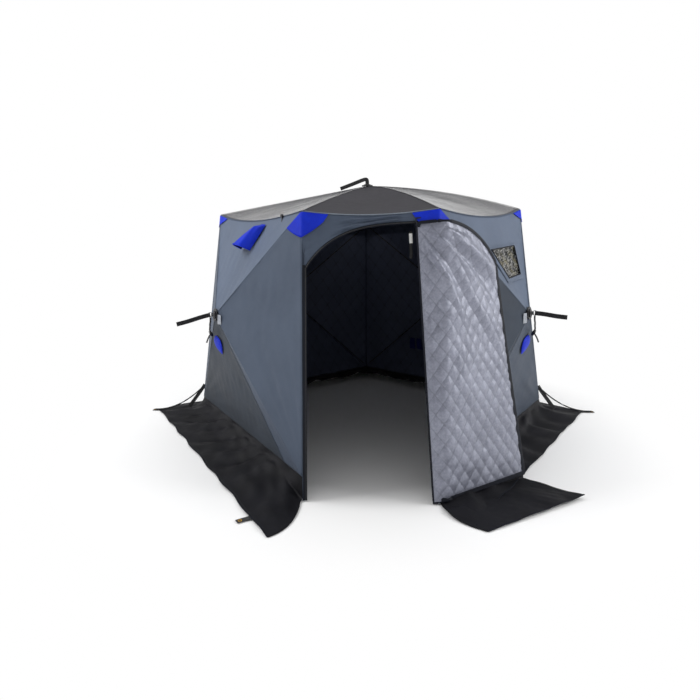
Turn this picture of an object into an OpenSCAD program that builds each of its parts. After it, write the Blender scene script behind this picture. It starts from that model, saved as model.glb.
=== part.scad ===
// Five-sided pop-up ice fishing hut: sewn fabric shell, hub-and-pole frame, snow skirts and a D-shaped door.
// The origin is on the ground in the middle of the footprint, +Z is up and the door faces -Y.

/* [Plan] */
// Half of the width between the two side corners on the ground
side_x = 1590; // [1320:10:1910]
// How far the side corners lie behind the origin
side_y = 205; // [150:5:260]
// Width of the narrow door face
door_face_w = 840; // [700:10:1010]
// Distance of the door face in front of the origin
front_y = 1565; // [1300:5:1880]
// Distance of the back corner behind the origin
back_y = 1565; // [1300:5:1880]
// How far the apex lies behind the origin
apex_y = 165; // [120:5:220]

/* [Heights] */
// Height of the roof apex
apex_h = 2080; // [2000:10:2500]
// Height of the eaves at the side and back corners
eave_h = 1860; // [1700:10:1950]
// Height of the eaves at the two door corners
front_eave_h = 1770; // [1720:10:1850]
// Height of the four wall hubs
hub_h = 1060; // [880:10:1270]
// Height of the black band along the foot of the walls
band_h = 150; // [120:5:180]

/* [Shape] */
// How far each corner leans in from the ground to the eaves
corner_lean = 263; // [210:1:320]
// How far the door face leans back from the ground to the eaves
front_lean = 270; // [220:1:325]
// How far each wall hub pushes its wall outwards
hub_bulge = 267; // [220:1:325]
// Sag of the eaves between the corners of a hub wall
eave_sag = 65; // [50:1:80]
// Sag of the eaves over the door
front_eave_sag = 32; // [20:1:40]

/* [Fabric] */
// Thickness of the quilted wall fabric
wall_t = 5; // [4:0.5:7]
// Thickness of the quilted roof fabric
roof_t = 5; // [4:0.5:7]
// Thickness of the skirt fabric
skirt_t = 3; // [2:0.5:4]
// Thickness of small sewn patches
patch_t = 2; // [1.5:0.5:3]
// Gap between two layers that lie on each other
seat_gap = 0.3; // [0.2:0.1:0.5]

/* [Snow skirts] */
// Width of the left skirt on the ground
left_flap_w = 350; // [290:5:420]
// Width of the right skirt on the ground
right_flap_w = 290; // [240:5:350]
// Width of the two back skirts on the ground
back_flap_w = 320; // [265:5:385]
// How far the left skirt runs on past its door corner
left_flap_end = 268; // [200:2:320]
// How far the right skirt runs on past its door corner
right_flap_end = 212; // [160:2:255]
// How far the left grommet tab reaches beyond its skirts
left_tab_l = 62; // [50:1:75]
// How far the right grommet tab reaches beyond its skirts
right_tab_l = 108; // [90:1:125]
// How far the front grommet tab reaches beyond its skirt
front_tab_l = 90; // [70:1:105]
// Distance of the front grommet tab from its skirt's front corner
front_tab_back = 235; // [150:5:320]
// How far the back grommet tab reaches beyond its skirts
back_tab_l = 49; // [45:1:75]
// Width of the grommet tabs
tab_w = 46; // [38:1:55]

/* [Door opening] */
// Distance of the hinge line from the middle, on the ground
hinge_x_low = 376; // [350:1:390]
// Distance of the hinge line from the middle, at its top
hinge_x_high = 279; // [250:1:300]
// Height of the top of the hinge line
hinge_top_h = 1690; // [1640:5:1700]
// Width of the strip left of the opening
zip_strip_w = 22; // [16:1:30]
// Height at which the arch starts on the left side
arch_start_h = 1420; // [1350:5:1480]
// Height that the arch is pulled towards at its left shoulder
arch_shoulder_h = 1690; // [1660:5:1700]

/* [Door] */
// Thickness of the quilted door
door_t = 8; // [6:0.5:9]
// Gap between the closed door and the edge of its opening
door_gap = 8; // [6:0.5:12]
// Height of the door's bottom edge above the ground
door_bottom = 16; // [14:0.5:20]
// Distance of the hinge cord in front of the door face
hinge_off = 14; // [12:0.5:17]
// Radius of the hinge cord
hinge_r = 3; // [2:0.25:3.5]
// Angle between the folded-back door and the wall beside it, at the ground
fold_clear = 8.8; // [6:0.2:14]
// How much further the door folds back at its top
fold_spread = 12; // [8:0.5:13]
// Radius of the door's fold round the door corner
fold_r = 70; // [55:5:90]
// How far the folded door runs past the door corner before its fold
fold_start = 14; // [8:1:20]
// Width of the door's own snow skirt
door_flap_w = 365; // [300:5:430]
// Length of the free edge of the door's skirt, from the hinge
door_flap_l = 815; // [740:5:900]

/* [Frame] */
// Radius of the poles
pole_r = 5.5; // [4.5:0.25:6.5]
// Depth of the pole sockets behind the fabric
socket_depth = 38; // [32:1:44]
// Radius of the hub caps outside the fabric
cap_r = 48; // [44:1:56]

/* [Window] */
// Height of the window's top edge, as a share of the way from the hub to the eaves
window_top = 0.63; // [0.58:0.01:0.68]
// Height of the window's bottom edge, as a share of the same way
window_bottom = 0.34; // [0.3:0.01:0.4]
// Half width of the window, as a share of the panel at the same height
window_half = 0.26; // [0.22:0.01:0.3]
// Width of the frame round the window
window_rim = 28; // [20:1:36]

/* [Hidden] */

// Corners run anticlockwise seen from above: left, front left, front right, right, back.
// Side i runs from corner i to corner i + 1.
LEFT = 0;
FRONT = 1;
RIGHT = 2;
BACK_RIGHT = 3;
BACK_LEFT = 4;
HUB_SIDES = [LEFT, RIGHT, BACK_RIGHT, BACK_LEFT];

ridge_bow = [0, 13, 34, 44, 16];    // rise of each ridge pole above a straight line, by corner
roof_rows = 7;
hole_share = 0.03;      // share of each panel that is cut away round its hub
eave_steps = 10;        // straight pieces in each sagging eave
slate = [0.33, 0.37, 0.42];
charcoal = [0.29, 0.29, 0.31];
black = [0.1, 0.1, 0.12];
blue = [0.1, 0.2, 0.8];
silver = [0.65, 0.65, 0.7];

function unit(v) = v / norm(v);
function mix(a, b, t) = a + (b - a) * t;
function next(i) = (i + 1) % 5;
function prev(i) = (i + 4) % 5;
function reversed(list) = [for (k = [len(list) - 1:-1:0]) list[k]];

apex = [0, apex_y, apex_h];
ground = [[-side_x, side_y, 0], [-door_face_w / 2, -front_y, 0], [door_face_w / 2, -front_y, 0],
          [side_x, side_y, 0], [0, back_y, 0]];
function towards_apex(p) = unit([apex.x - p.x, apex.y - p.y, 0]);
function is_door_corner(i) = i == 1 || i == 2;
function top_of(i) = is_door_corner(i)
    ? ground[i] + [0, front_lean, front_eave_h]
    : ground[i] + towards_apex(ground[i]) * corner_lean + [0, 0, eave_h];
top = [for (i = [0:4]) top_of(i)];

// Outward normal of a side, level with the ground.
function side_normal(i) = let (e = ground[next(i)] - ground[i]) unit([e.y, -e.x, 0]);
// Direction along a side, from its first corner to its second.
function side_dir(i) = unit(ground[next(i)] - ground[i]);
// Point of a corner's edge at a height.
function edge_at(i, z) = mix(ground[i], top[i], z / top[i].z);
// Step from the outside of a corner to the inside of fabric t thick, shared by both of its sides.
function mitre(i, t) = let (a = side_normal(prev(i)), b = side_normal(i)) -t * (a + b) / (1 + a * b);
// Peak of a hub wall, where its hub is.
function hub_at(i) = mix(edge_at(i, hub_h), edge_at(next(i), hub_h), 0.5) + side_normal(i) * hub_bulge;
// The eaves sag in the plane of the panel under them.
// The walls end a little lower than the roof, by drop.
wall_drop = roof_t + seat_gap;
function head_at(i, drop) = edge_at(i, top[i].z - drop);
function eave_fall(i, a, b) = let (m = mix(a, b, 0.5))
    i == FRONT ? unit(mix(ground[i], ground[next(i)], 0.5) - m) : unit(hub_at(i) - m);
function eave(i, t, drop = 0) = let (a = head_at(i, drop), b = head_at(next(i), drop)) mix(a, b, t)
    + eave_fall(i, a, b) * 4 * t * (1 - t) * (i == FRONT ? front_eave_sag : eave_sag);
eave_t = [for (k = [0:eave_steps]) k / eave_steps];

// Closed shell between an outside ring and an inside ring of points, each with an outer and a hole loop.
module ring_shell(out_rim, out_hole, in_rim, in_hole, closed = true) {
    n = len(out_rim);
    last = closed ? n - 1 : n - 2;
    quads = [for (k = [0:last]) let (m = (k + 1) % n) each [
        [n + k, n + m, m, k],
        [2 * n + k, 2 * n + m, 3 * n + m, 3 * n + k],
        [k, m, 2 * n + m, 2 * n + k],
        [n + m, n + k, 3 * n + k, 3 * n + m]
    ]];
    ends = closed ? [] : [[n, 0, 2 * n, 3 * n], [n - 1, 2 * n - 1, 4 * n - 1, 3 * n - 1]];
    polyhedron(concat(out_rim, out_hole, in_rim, in_hole),
               [for (q = concat(quads, ends)) each [[q[0], q[1], q[2]], [q[0], q[2], q[3]]]]);
}

// Closed slab between two grids of points, each listed row by row, so that the first grid's cells run clockwise
// seen from outside.
module slab(top_grid, under_grid) {
    rows = len(top_grid);
    cols = len(top_grid[0]);
    count = rows * cols;
    faces = [for (k = [0:rows - 2], c = [0:cols - 2]) let (a = k * cols + c, b = a + cols) each [
        [a, a + 1, b + 1], [a, b + 1, b],
        [count + a, count + b + 1, count + a + 1], [count + a, count + b, count + b + 1]]];
    rim = concat([for (c = [0:cols - 1]) c], [for (k = [1:rows - 1]) k * cols + cols - 1],
                 [for (c = [cols - 2:-1:0]) (rows - 1) * cols + c], [for (k = [rows - 2:-1:1]) k * cols]);
    edges = [for (k = [0:len(rim) - 1]) let (a = rim[k], b = rim[(k + 1) % len(rim)])
        each [[a, count + a, count + b], [a, count + b, b]]];
    polyhedron([for (grid = [top_grid, under_grid], row = grid) each row], concat(faces, edges));
}

// Closed strip between two ends. Each section lists the same points in order, clockwise seen from the first end,
// and all of it shows from its first point.
module swept(sections) {
    n = len(sections[0]);
    m = len(sections);
    sides = [for (s = [0:m - 2], k = [0:n - 1]) let (j = (k + 1) % n)
        each [[s * n + k, (s + 1) * n + j, s * n + j], [s * n + k, (s + 1) * n + k, (s + 1) * n + j]]];
    polyhedron([for (s = sections) each s],
               concat(sides, [for (k = [1:n - 2]) each [[0, k, k + 1], [(m - 1) * n, (m - 1) * n + k + 1, (m - 1) * n + k]]]));
}

// Flat plate on an outline of points listed anticlockwise seen from outside, from low to high along normal.
module plate(outline, normal, low, high) {
    swept([[for (p = outline) p + normal * low], [for (p = outline) p + normal * high]]);
}

// Cylinder between two points.
module rod(a, b, r) {
    v = b - a;
    translate(a)
        rotate([0, acos(v.z / norm(v)), atan2(v.y, v.x)])
            cylinder(r = r, h = norm(v), $fn = 32);
}

// ---- walls and roof ----

// Outline of a hub wall, anticlockwise seen from outside, with the matching inner points.
function wall_rim(i) = concat([edge_at(i, band_h), edge_at(next(i), band_h)],
    [for (t = reversed(eave_t)) eave(i, t, wall_drop)]);
function wall_rim_in(i) = let (n = -side_normal(i) * wall_t, r = wall_rim(i), c = len(r)) concat(
    [r[0] + mitre(i, wall_t), r[1] + mitre(next(i), wall_t), r[2] + mitre(next(i), wall_t)],
    [for (k = [3:c - 2]) r[k] + n],
    [r[c - 1] + mitre(i, wall_t)]);

module hub_wall(i) {
    hub = hub_at(i);
    back = -side_normal(i) * wall_t;
    rim = wall_rim(i);
    hole = [for (p = rim) mix(hub, p, hole_share)];
    ring_shell(rim, hole, wall_rim_in(i), [for (p = hole) p + back]);
}

// Roof panel over side i: it runs from the apex down to the sagging eaves, over ridge poles that bow up.
function roof_at(i, r, t) = mix(apex, eave(i, t), r)
    + [0, 0, 4 * r * (1 - r) * mix(ridge_bow[i], ridge_bow[next(i)], t)];
module roof_panel(i) {
    grid = [for (k = [0:roof_rows]) [for (t = eave_t) roof_at(i, mix(hole_share, 1, k / roof_rows), t)]];
    slab(grid, [for (row = grid) [for (p = row) p - [0, 0, roof_t]]]);
}

// Point of the door face's outer surface at x and height z.
function on_face(x, z) = [x, -front_y + front_lean * z / front_eave_h, z];
hinge_share = hinge_top_h / front_eave_h;
jamb_x = -door_face_w / 2 + zip_strip_w;
// The arch is one curve from the top of the hinge line to the left jamb.
arch_pull_x = hinge_x_high - 230;
arch_shoulder_x = jamb_x + 165;
function arch(t, inset = 0) = let (
    a = [hinge_x_high, hinge_top_h - inset], b = [arch_pull_x, hinge_top_h - 10 - inset],
    c = [arch_shoulder_x + inset * 0.7, arch_shoulder_h - inset], d = [jamb_x + inset, arch_start_h])
    a * pow(1 - t, 3) + 3 * b * t * pow(1 - t, 2) + 3 * c * t * t * (1 - t) + d * pow(t, 3);
frame_edge = 6 + door_t / 2;    // from the hinge line to the edge of the strip beside it

module front_wall() {
    back = [0, wall_t, 0];
    foot = skirt_t + 1;
    rim = concat([edge_at(2, foot)], [for (t = reversed(eave_t)) eave(FRONT, t, wall_drop)],
                 [edge_at(1, foot)]);
    hole = concat([on_face(hinge_x_low + frame_edge, foot)],
                  [for (k = [0:eave_steps]) let (p = arch(k / eave_steps))
                      on_face(p.x + frame_edge * (1 - k / eave_steps), p.y)],
                  [on_face(jamb_x, foot)]);
    c = len(rim);
    rim_in = concat([rim[0] + mitre(2, wall_t), rim[1] + mitre(2, wall_t)],
                    [for (k = [2:c - 3]) rim[k] + back],
                    [rim[c - 2] + mitre(1, wall_t), rim[c - 1] + mitre(1, wall_t)]);
    color(slate) ring_shell(rim, hole, rim_in, [for (p = hole) p + back], closed = false);
}

// Point of a wall's upper panel: u up from the hub to the eaves, v across from the first corner to the second.
function upper_at(i, u, v) = hub_at(i) + u * (mix(head_at(i, wall_drop), head_at(next(i), wall_drop), v) - hub_at(i));
function upper_normal(i) = unit(cross(upper_at(i, 1, 1) - hub_at(i), upper_at(i, 1, 0) - hub_at(i)));
window_normal = upper_normal(RIGHT);
window_outline = [upper_at(RIGHT, window_bottom, 0.5 - window_half), upper_at(RIGHT, window_bottom, 0.5 + window_half),
                  upper_at(RIGHT, window_top, 0.5 + window_half), upper_at(RIGHT, window_top, 0.5 - window_half)];
window_middle = (window_outline[0] + window_outline[1] + window_outline[2] + window_outline[3]) / 4;
// The window's outline moved out by d at its corners, or in where d is negative.
function window_ring(d) = [for (p = window_outline) p + unit(p - window_middle) * d * 1.4];

module left_wall() { color(slate) hub_wall(LEFT); }
module back_left_wall() { color(slate) hub_wall(BACK_LEFT); }
module back_right_wall() { color(slate) hub_wall(BACK_RIGHT); }
module right_wall() {
    color(slate) difference() {
        hub_wall(RIGHT);
        plate(window_ring(0), window_normal, -60, 60);
    }
}
module left_roof() { color(charcoal) roof_panel(LEFT); }
module right_roof() { color(charcoal) roof_panel(RIGHT); }
module back_left_roof() { color(charcoal) roof_panel(BACK_LEFT); }
module back_right_roof() { color(charcoal) roof_panel(BACK_RIGHT); }
module front_roof() { color(charcoal) roof_panel(FRONT); }

// Clear film seated in the hole of the right wall, and the frame sewn round it outside.
module window_film() {
    color(black) plate(window_ring(-seat_gap), window_normal, -wall_t * 0.7, -wall_t * 0.7 + 1);
}
module window_frame() {
    outer = window_ring(window_rim);
    inner = window_ring(-window_rim * 0.4);
    color(black) difference() {
        plate(outer, window_normal, seat_gap, seat_gap + patch_t);
        plate(inner, window_normal, -5, 10);
    }
}

// ---- skirts ----

// Corner of a skirt on the ground: w out from side i at its corner c, where the skirt of the next side is w2 wide.
function flap_corner(c, i, w, j, w2) = let (a = side_normal(i), b = side_normal(j), d = a.x * b.y - a.y * b.x)
    ground[c] + [(w * b.y - w2 * a.y) / d, (a.x * w2 - b.x * w) / d, 0];
function free_flap_end(c, i, w, past, way) = ground[c] + side_normal(i) * w + side_dir(i) * past * way;

left_back_corner = flap_corner(0, LEFT, left_flap_w, BACK_LEFT, back_flap_w);
right_back_corner = flap_corner(3, RIGHT, right_flap_w, BACK_RIGHT, back_flap_w);
back_corner = flap_corner(4, BACK_RIGHT, back_flap_w, BACK_LEFT, back_flap_w);
left_front_corner = free_flap_end(1, LEFT, left_flap_w, left_flap_end, 1);
right_front_corner = free_flap_end(2, RIGHT, right_flap_w, right_flap_end, -1);

// Section of a skirt at corner c: the band up the wall, and the flap out to a point on the ground.
function skirt_section(c, out) = let (
    crease = edge_at(c, skirt_t), inner = edge_at(c, 0) + mitre(c, skirt_t), head = edge_at(c, band_h)) [
    [inner.x, inner.y, 0], head + mitre(c, skirt_t), head, crease, [out.x, out.y, skirt_t], [out.x, out.y, 0]];
module skirt(i, first_out, second_out) {
    color(black) swept([skirt_section(i, first_out), skirt_section(next(i), second_out)]);
}
module left_skirt() { skirt(LEFT, left_back_corner, left_front_corner); }
module right_skirt() { skirt(RIGHT, right_front_corner, right_back_corner); }
module back_right_skirt() { skirt(BACK_RIGHT, right_back_corner, back_corner); }
module back_left_skirt() { skirt(BACK_LEFT, back_corner, left_back_corner); }

// Webbing tabs with a grommet at the free corners of the skirts.
grommet_r = 9;
tab_seat = 30;          // length of a tab that lies on its skirt
module grommet_tab(p, away, reach) {
    translate([p.x, p.y, skirt_t + seat_gap])
        rotate([0, 0, atan2(away.y, away.x)])
            difference() {
                translate([-tab_seat, -tab_w / 2, 0]) cube([tab_seat + reach, tab_w, patch_t]);
                translate([reach - 22, 0, -1]) cylinder(r = grommet_r, h = patch_t + 2, $fn = 48);
            }
}
module grommet_tabs() {
    color(black) {
        grommet_tab(left_back_corner, [-1, 0, 0], left_tab_l);
        grommet_tab(right_back_corner, [1, 0, 0], right_tab_l);
        grommet_tab(left_front_corner - side_dir(LEFT) * front_tab_back, side_normal(LEFT), front_tab_l);
        grommet_tab(back_corner, [0, 1, 0], back_tab_l);
    }
}

// ---- frame ----

arm_r = 9;
arm_l = 34;
block_r = 34;
block_h = 24;
stem_r = 12;
pole_end_gap = 42;      // from a pole's end to its corner

// Where a hub's poles leave it, and where they end near the corners of its wall.
function socket_at(i) = hub_at(i) - hub_axis(i) * socket_depth;
function corner_inside(c, z, i) = edge_at(c, z) + mitre(c, wall_t + 22)
    + (mix(ground[i], ground[next(i)], 0.5) - ground[c]) * 0.012;
function pole_targets(i) = [corner_inside(i, band_h + 30, i), corner_inside(next(i), band_h + 30, i),
    corner_inside(next(i), top[next(i)].z - 75, i), corner_inside(i, top[i].z - 75, i)];

// A wall leans, and its hub leans with it, so that the cap sits flat on the rim of the hole.
function hub_axis(i) = unit(cross(ground[next(i)] - ground[i],
    mix(top[i], top[next(i)], 0.5) - mix(ground[i], ground[next(i)], 0.5)));
function hub_face(i) = hub_at(i) - hub_axis(i) * (hole_share * min([for (p = wall_rim(i)) (hub_at(i) - p) * hub_axis(i)]) - seat_gap);
module wall_hub(i) {
    n = hub_axis(i);
    centre = socket_at(i);
    face = hub_face(i);
    color(black) {
        rod(centre - n * block_h / 2, centre + n * block_h / 2, block_r);
        rod(centre, face + n * 2, stem_r);
        rod(face, face + n * 8, cap_r);
        rod(face + n * 2, face + n * 16, cap_r * 0.6);
        for (p = pole_targets(i))
            rod(centre + unit(p - centre) * 20, centre + unit(p - centre) * (block_r + arm_l), arm_r);
    }
}
module wall_poles(i) {
    centre = socket_at(i);
    color(charcoal)
        for (p = pole_targets(i))
            rod(centre + unit(p - centre) * (block_r + arm_l), p - unit(p - centre) * pole_end_gap, pole_r);
}
module left_hub() { wall_hub(LEFT); }
module right_hub() { wall_hub(RIGHT); }
module back_left_hub() { wall_hub(BACK_LEFT); }
module back_right_hub() { wall_hub(BACK_RIGHT); }
module left_poles() { wall_poles(LEFT); }
module right_poles() { wall_poles(RIGHT); }
module back_left_poles() { wall_poles(BACK_LEFT); }
module back_right_poles() { wall_poles(BACK_RIGHT); }

roof_socket = apex - [0, 0, socket_depth + 6];
roof_rest = max([for (i = [0:4], t = eave_t) roof_at(i, hole_share, t).z]) + seat_gap;
function roof_target(c) = top[c] + mitre(c, wall_t + 24) - [0, 0, roof_t + 20];
module roof_hub() {
    color(black) {
        translate([0, apex_y, roof_socket.z - block_h / 2]) cylinder(r = block_r, h = block_h, $fn = 48);
        translate([0, apex_y, roof_socket.z]) cylinder(r = stem_r, h = roof_rest - roof_socket.z + 2, $fn = 48);
        translate([0, apex_y, roof_rest]) cylinder(r = cap_r, h = 8, $fn = 48);
        translate([0, apex_y, roof_rest + 2]) cylinder(r = cap_r * 0.6, h = 14, $fn = 48);
        for (c = [0:4])
            let (d = unit(roof_target(c) - roof_socket))
                rod(roof_socket + d * 20, roof_socket + d * (block_r + arm_l), arm_r);
    }
}
module roof_poles() {
    color(charcoal)
        for (c = [0:4])
            let (d = unit(roof_target(c) - roof_socket))
                rod(roof_socket + d * (block_r + arm_l), roof_target(c) - d * pole_end_gap, pole_r);
}

// ---- straps, caps and patches ----

strap_w = 40;
strap_t = 3;
strap_l = 270;
strap_fall = 14;        // degrees that a pull strap droops
module pull_strap(i) {
    n = hub_axis(i);
    lean = asin(n.z);   // the strap's end is square, the hub's face leans
    start = hub_face(i) + n * (16 + seat_gap + strap_w / 2 * sin(strap_fall + lean));
    color(black)
        translate(start)
            rotate([0, strap_fall, atan2(n.y, n.x)])
                translate([0, -strap_t / 2, -strap_w / 2]) cube([strap_l, strap_t, strap_w]);
}
module left_pull_strap() { pull_strap(LEFT); }
module right_pull_strap() { pull_strap(RIGHT); }
module back_left_pull_strap() { pull_strap(BACK_LEFT); }
module back_right_pull_strap() { pull_strap(BACK_RIGHT); }

roof_strap_l = 245;
roof_strap_rise = 55;   // height of the strap's fold above the hub cap
module roof_strap() {
    foot = roof_rest + 16 + seat_gap;
    fall = atan2(foot + roof_strap_rise - (apex_h - 22), roof_strap_l);
    half = strap_t / 2;
    under = roof_strap_rise - strap_t / cos(fall);
    end = [-roof_strap_l * cos(fall), roof_strap_rise - roof_strap_l * sin(fall)];
    color(black)
        translate([0, apex_y, foot])
            rotate([90, 0, 0])
                linear_extrude(strap_w, center = true)
                    polygon([[-half, 0], [half, 0], [half, roof_strap_rise + half * tan(fall)], end,
                             end + strap_t * [sin(fall), -cos(fall)], [-half, under - half * tan(fall)]]);
}

cap_reach = 170;        // along the eaves
cap_fall = 160;         // down the corner's edge
cap_ridge = 0.085;      // along the ridge towards the wall hub, as a share of its length
cap_seat = seat_gap + 0.4;
// Tip of a corner cap under the eaves of side i, which leaves corner c at one end of them.
function cap_tip(c, i) = let (t = cap_reach / norm(top[next(i)] - top[i])) eave(i, c == i ? t : 1 - t, wall_drop);
// Point of a cap's lower hem between its tips: on the ridge of a hub wall, or halfway on the flat door face.
function cap_hem(c, i, head, tip, low) = i == FRONT ? mix(tip, low, 0.5) : mix(head, hub_at(i), cap_ridge);
module corner_cap(c) {
    i = prev(c);
    head = head_at(c, wall_drop);
    low = edge_at(c, top[c].z - cap_fall);
    tip_a = cap_tip(c, i);
    tip_b = cap_tip(c, c);
    layer = function (d) let (step = -mitre(c, d), a = side_normal(i) * d, b = side_normal(c) * d) [
        head + step, tip_a + a, cap_hem(c, i, head, tip_a, low) + a, low + step,
        cap_hem(c, c, head, tip_b, low) + b, tip_b + b];
    fan = [for (k = [1:4]) [0, k + 1, k]];
    rim = [for (k = [0:5]) let (m = (k + 1) % 6) each [[k, m, m + 6], [k, m + 6, k + 6]]];
    color(blue)
        polyhedron(concat(layer(cap_seat + patch_t), layer(cap_seat)),
                   concat(fan, [for (f = fan) [f[0] + 6, f[2] + 6, f[1] + 6]], rim));
}
module left_corner_cap() { corner_cap(0); }
module front_left_corner_cap() { corner_cap(1); }
module front_right_corner_cap() { corner_cap(2); }
module right_corner_cap() { corner_cap(3); }
module back_corner_cap() { corner_cap(4); }

// Rope pocket: a leaf-shaped patch below each wall hub, on the side away from the door.
// Its corners are shares of the lower panel: out from the hub, and across from the far corner.
pocket_corners = [[0.19, 0.22], [0.28, 0.16], [0.345, 0.44], [0.225, 0.5]];
pocket_t = 6;
function lower_at(i, u, v) = hub_at(i) + u * (mix(edge_at(i, band_h), edge_at(next(i), band_h), v) - hub_at(i));
function lower_normal(i) = unit(cross(edge_at(i, band_h) - hub_at(i), edge_at(next(i), band_h) - hub_at(i)));
function pocket_outline(i) = i == RIGHT || i == BACK_RIGHT
    ? [for (k = [3:-1:0]) lower_at(i, pocket_corners[k][0], 1 - pocket_corners[k][1])]
    : [for (p = pocket_corners) lower_at(i, p[0], p[1])];
module rope_pocket(i) {
    plate(pocket_outline(i), lower_normal(i), seat_gap, seat_gap + pocket_t);
}
module rope_pockets() {
    color(blue)
        for (i = HUB_SIDES) rope_pocket(i);
}

// Vent hood: half a cone sewn to the left wall, open at its lower end.
// Its mouth is level, and it leans towards the door as it climbs and narrows.
vent_l = 255;
vent_mouth_r = 100;
vent_tip_r = 45;
vent_steps = 12;
vent_normal = upper_normal(LEFT);
vent_mouth = upper_at(LEFT, 0.65, 0.62);
vent_dir = unit(upper_at(LEFT, 0.885, 0.7) - vent_mouth);
vent_side = unit(upper_at(LEFT, 1, 0) - upper_at(LEFT, 1, 1));
function vent_arc(p, r, t) = [for (k = [0:vent_steps]) let (a = 180 * k / vent_steps)
    p + vent_side * cos(a) * (r - t) + vent_normal * (sin(a) * (r - t) + seat_gap)];
module vent_hood() {
    tip = vent_mouth + vent_dir * vent_l;
    color(blue)
        ring_shell(vent_arc(vent_mouth, vent_mouth_r, 0), vent_arc(tip, vent_tip_r, 0),
                   vent_arc(vent_mouth, vent_mouth_r, patch_t), vent_arc(tip, vent_tip_r, patch_t), closed = false);
}

// ---- door ----

// The hinge line lies in the door face and leans with it. Its frame: along the hinge, across the strip, inwards.
face_lean = atan2(front_lean, front_eave_h);
face_out = [0, -cos(face_lean), sin(face_lean)];
hinge_slant = atan2(hinge_x_low - hinge_x_high, hinge_top_h / cos(face_lean));
hinge_foot = on_face(hinge_x_low, 0) + face_out * hinge_off;
hinge_up = unit(on_face(hinge_x_high, hinge_top_h) - on_face(hinge_x_low, 0));
hinge_across = cross(hinge_up, face_out);
hinge_in = -face_out;
hinge_l = norm(on_face(hinge_x_high, hinge_top_h) - on_face(hinge_x_low, 0));
module at_hinge() {
    translate(hinge_foot) rotate([-face_lean, 0, 0]) rotate([0, -hinge_slant, 0]) children();
}

cord_low = 4;
cord_high = hinge_l + 26;
sleeve_r = hinge_r + 2.5;
sleeve_low = 18;
sleeve_high = hinge_l - 30;
tab_h = 8;
module hinge_cord() {
    reach = frame_edge + 22;
    color(black) at_hinge() {
        translate([0, 0, cord_low]) cylinder(r = hinge_r, h = cord_high - cord_low, $fn = 32);
        translate([-hinge_r, 0, cord_low]) cube([reach, hinge_off, tab_h]);
        translate([-hinge_r, 0, cord_high - tab_h]) cube([reach, hinge_off - cap_seat - patch_t - seat_gap, tab_h]);
    }
}

// A point of the closed door at x and z on the door face, as [distance from the hinge, height along it].
function from_hinge(x, z) = let (dx = x - hinge_x_low, w = z / cos(face_lean))
    [-(dx * cos(hinge_slant) + w * sin(hinge_slant)), w * cos(hinge_slant) - dx * sin(hinge_slant)];
// Distance of the door corner's edge from the hinge line, at a height along the hinge.
function corner_reach(h) = mix(door_face_w / 2 - hinge_x_low, door_face_w / 2 - hinge_x_high, h / hinge_l);
// The folded door keeps clear of the panel from the door corner to the hub.
function turn_to(v) = atan2(v.y, v.x);
fold_low = turn_to(hub_at(RIGHT) - edge_at(2, hub_h)) - fold_clear;
fold_high = fold_low + fold_spread;
function fold_angle(h) = mix(fold_low, fold_high, h / hinge_l);
// Folded-back place of a point s from the hinge: across, in, and the angle of the fabric there.
function folded(s, h) = let (flat = corner_reach(h) + fold_start, a = fold_angle(h), arc = fold_r * a * PI / 180)
    s <= flat ? [s, 0, 0]
    : s <= flat + arc ? let (b = (s - flat) / fold_r * 180 / PI) [flat + fold_r * sin(b), fold_r * (1 - cos(b)), b]
    : let (d = s - flat - arc) [flat + fold_r * sin(a) + d * cos(a), fold_r * (1 - cos(a)) + d * sin(a), a];
// World place of the door's fabric at s and h, off the middle of its thickness; positive is the outer side.
function door_at(s, h, off) = let (f = folded(s, h))
    hinge_foot + hinge_up * h + hinge_across * (f[0] - sin(f[2]) * off) + hinge_in * (f[1] + cos(f[2]) * off);

door_rows = 26;
door_cols = 16;
jamb_edge = jamb_x + door_gap;
jamb_rows = 14;
// Free edge of the closed door on the door face, from its foot up the jamb and round the arch.
function free_edge(k) = k <= jamb_rows
    ? [jamb_edge, mix(door_bottom, arch_start_h - 10, k / jamb_rows)]
    : arch(1 - 0.97 * (k - jamb_rows) / (door_rows - jamb_rows), door_gap);
sleeve_start = sleeve_r - 1;
door_grid = [for (k = [0:door_rows]) let (
    f = free_edge(k), p = from_hinge(f[0], f[1]),
    h0 = mix(from_hinge(hinge_x_low, door_bottom)[1], hinge_l - 34, k / door_rows))
    [for (c = [0:door_cols]) let (u = c / door_cols) [mix(sleeve_start, p[0], u), mix(h0, p[1], u)]]];

module door_panel() {
    color(silver) difference() {
        union() {
            slab([for (row = door_grid) [for (g = row) door_at(g[0], g[1], door_t / 2)]],
                 [for (row = door_grid) [for (g = row) door_at(g[0], g[1], -door_t / 2)]]);
            at_hinge() translate([0, 0, sleeve_low])
                cylinder(r = sleeve_r, h = sleeve_high - sleeve_low, $fn = 32);
        }
        at_hinge() translate([0, 0, -50]) cylinder(r = hinge_r + seat_gap, h = hinge_l + 100, $fn = 32);
    }
}

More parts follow.
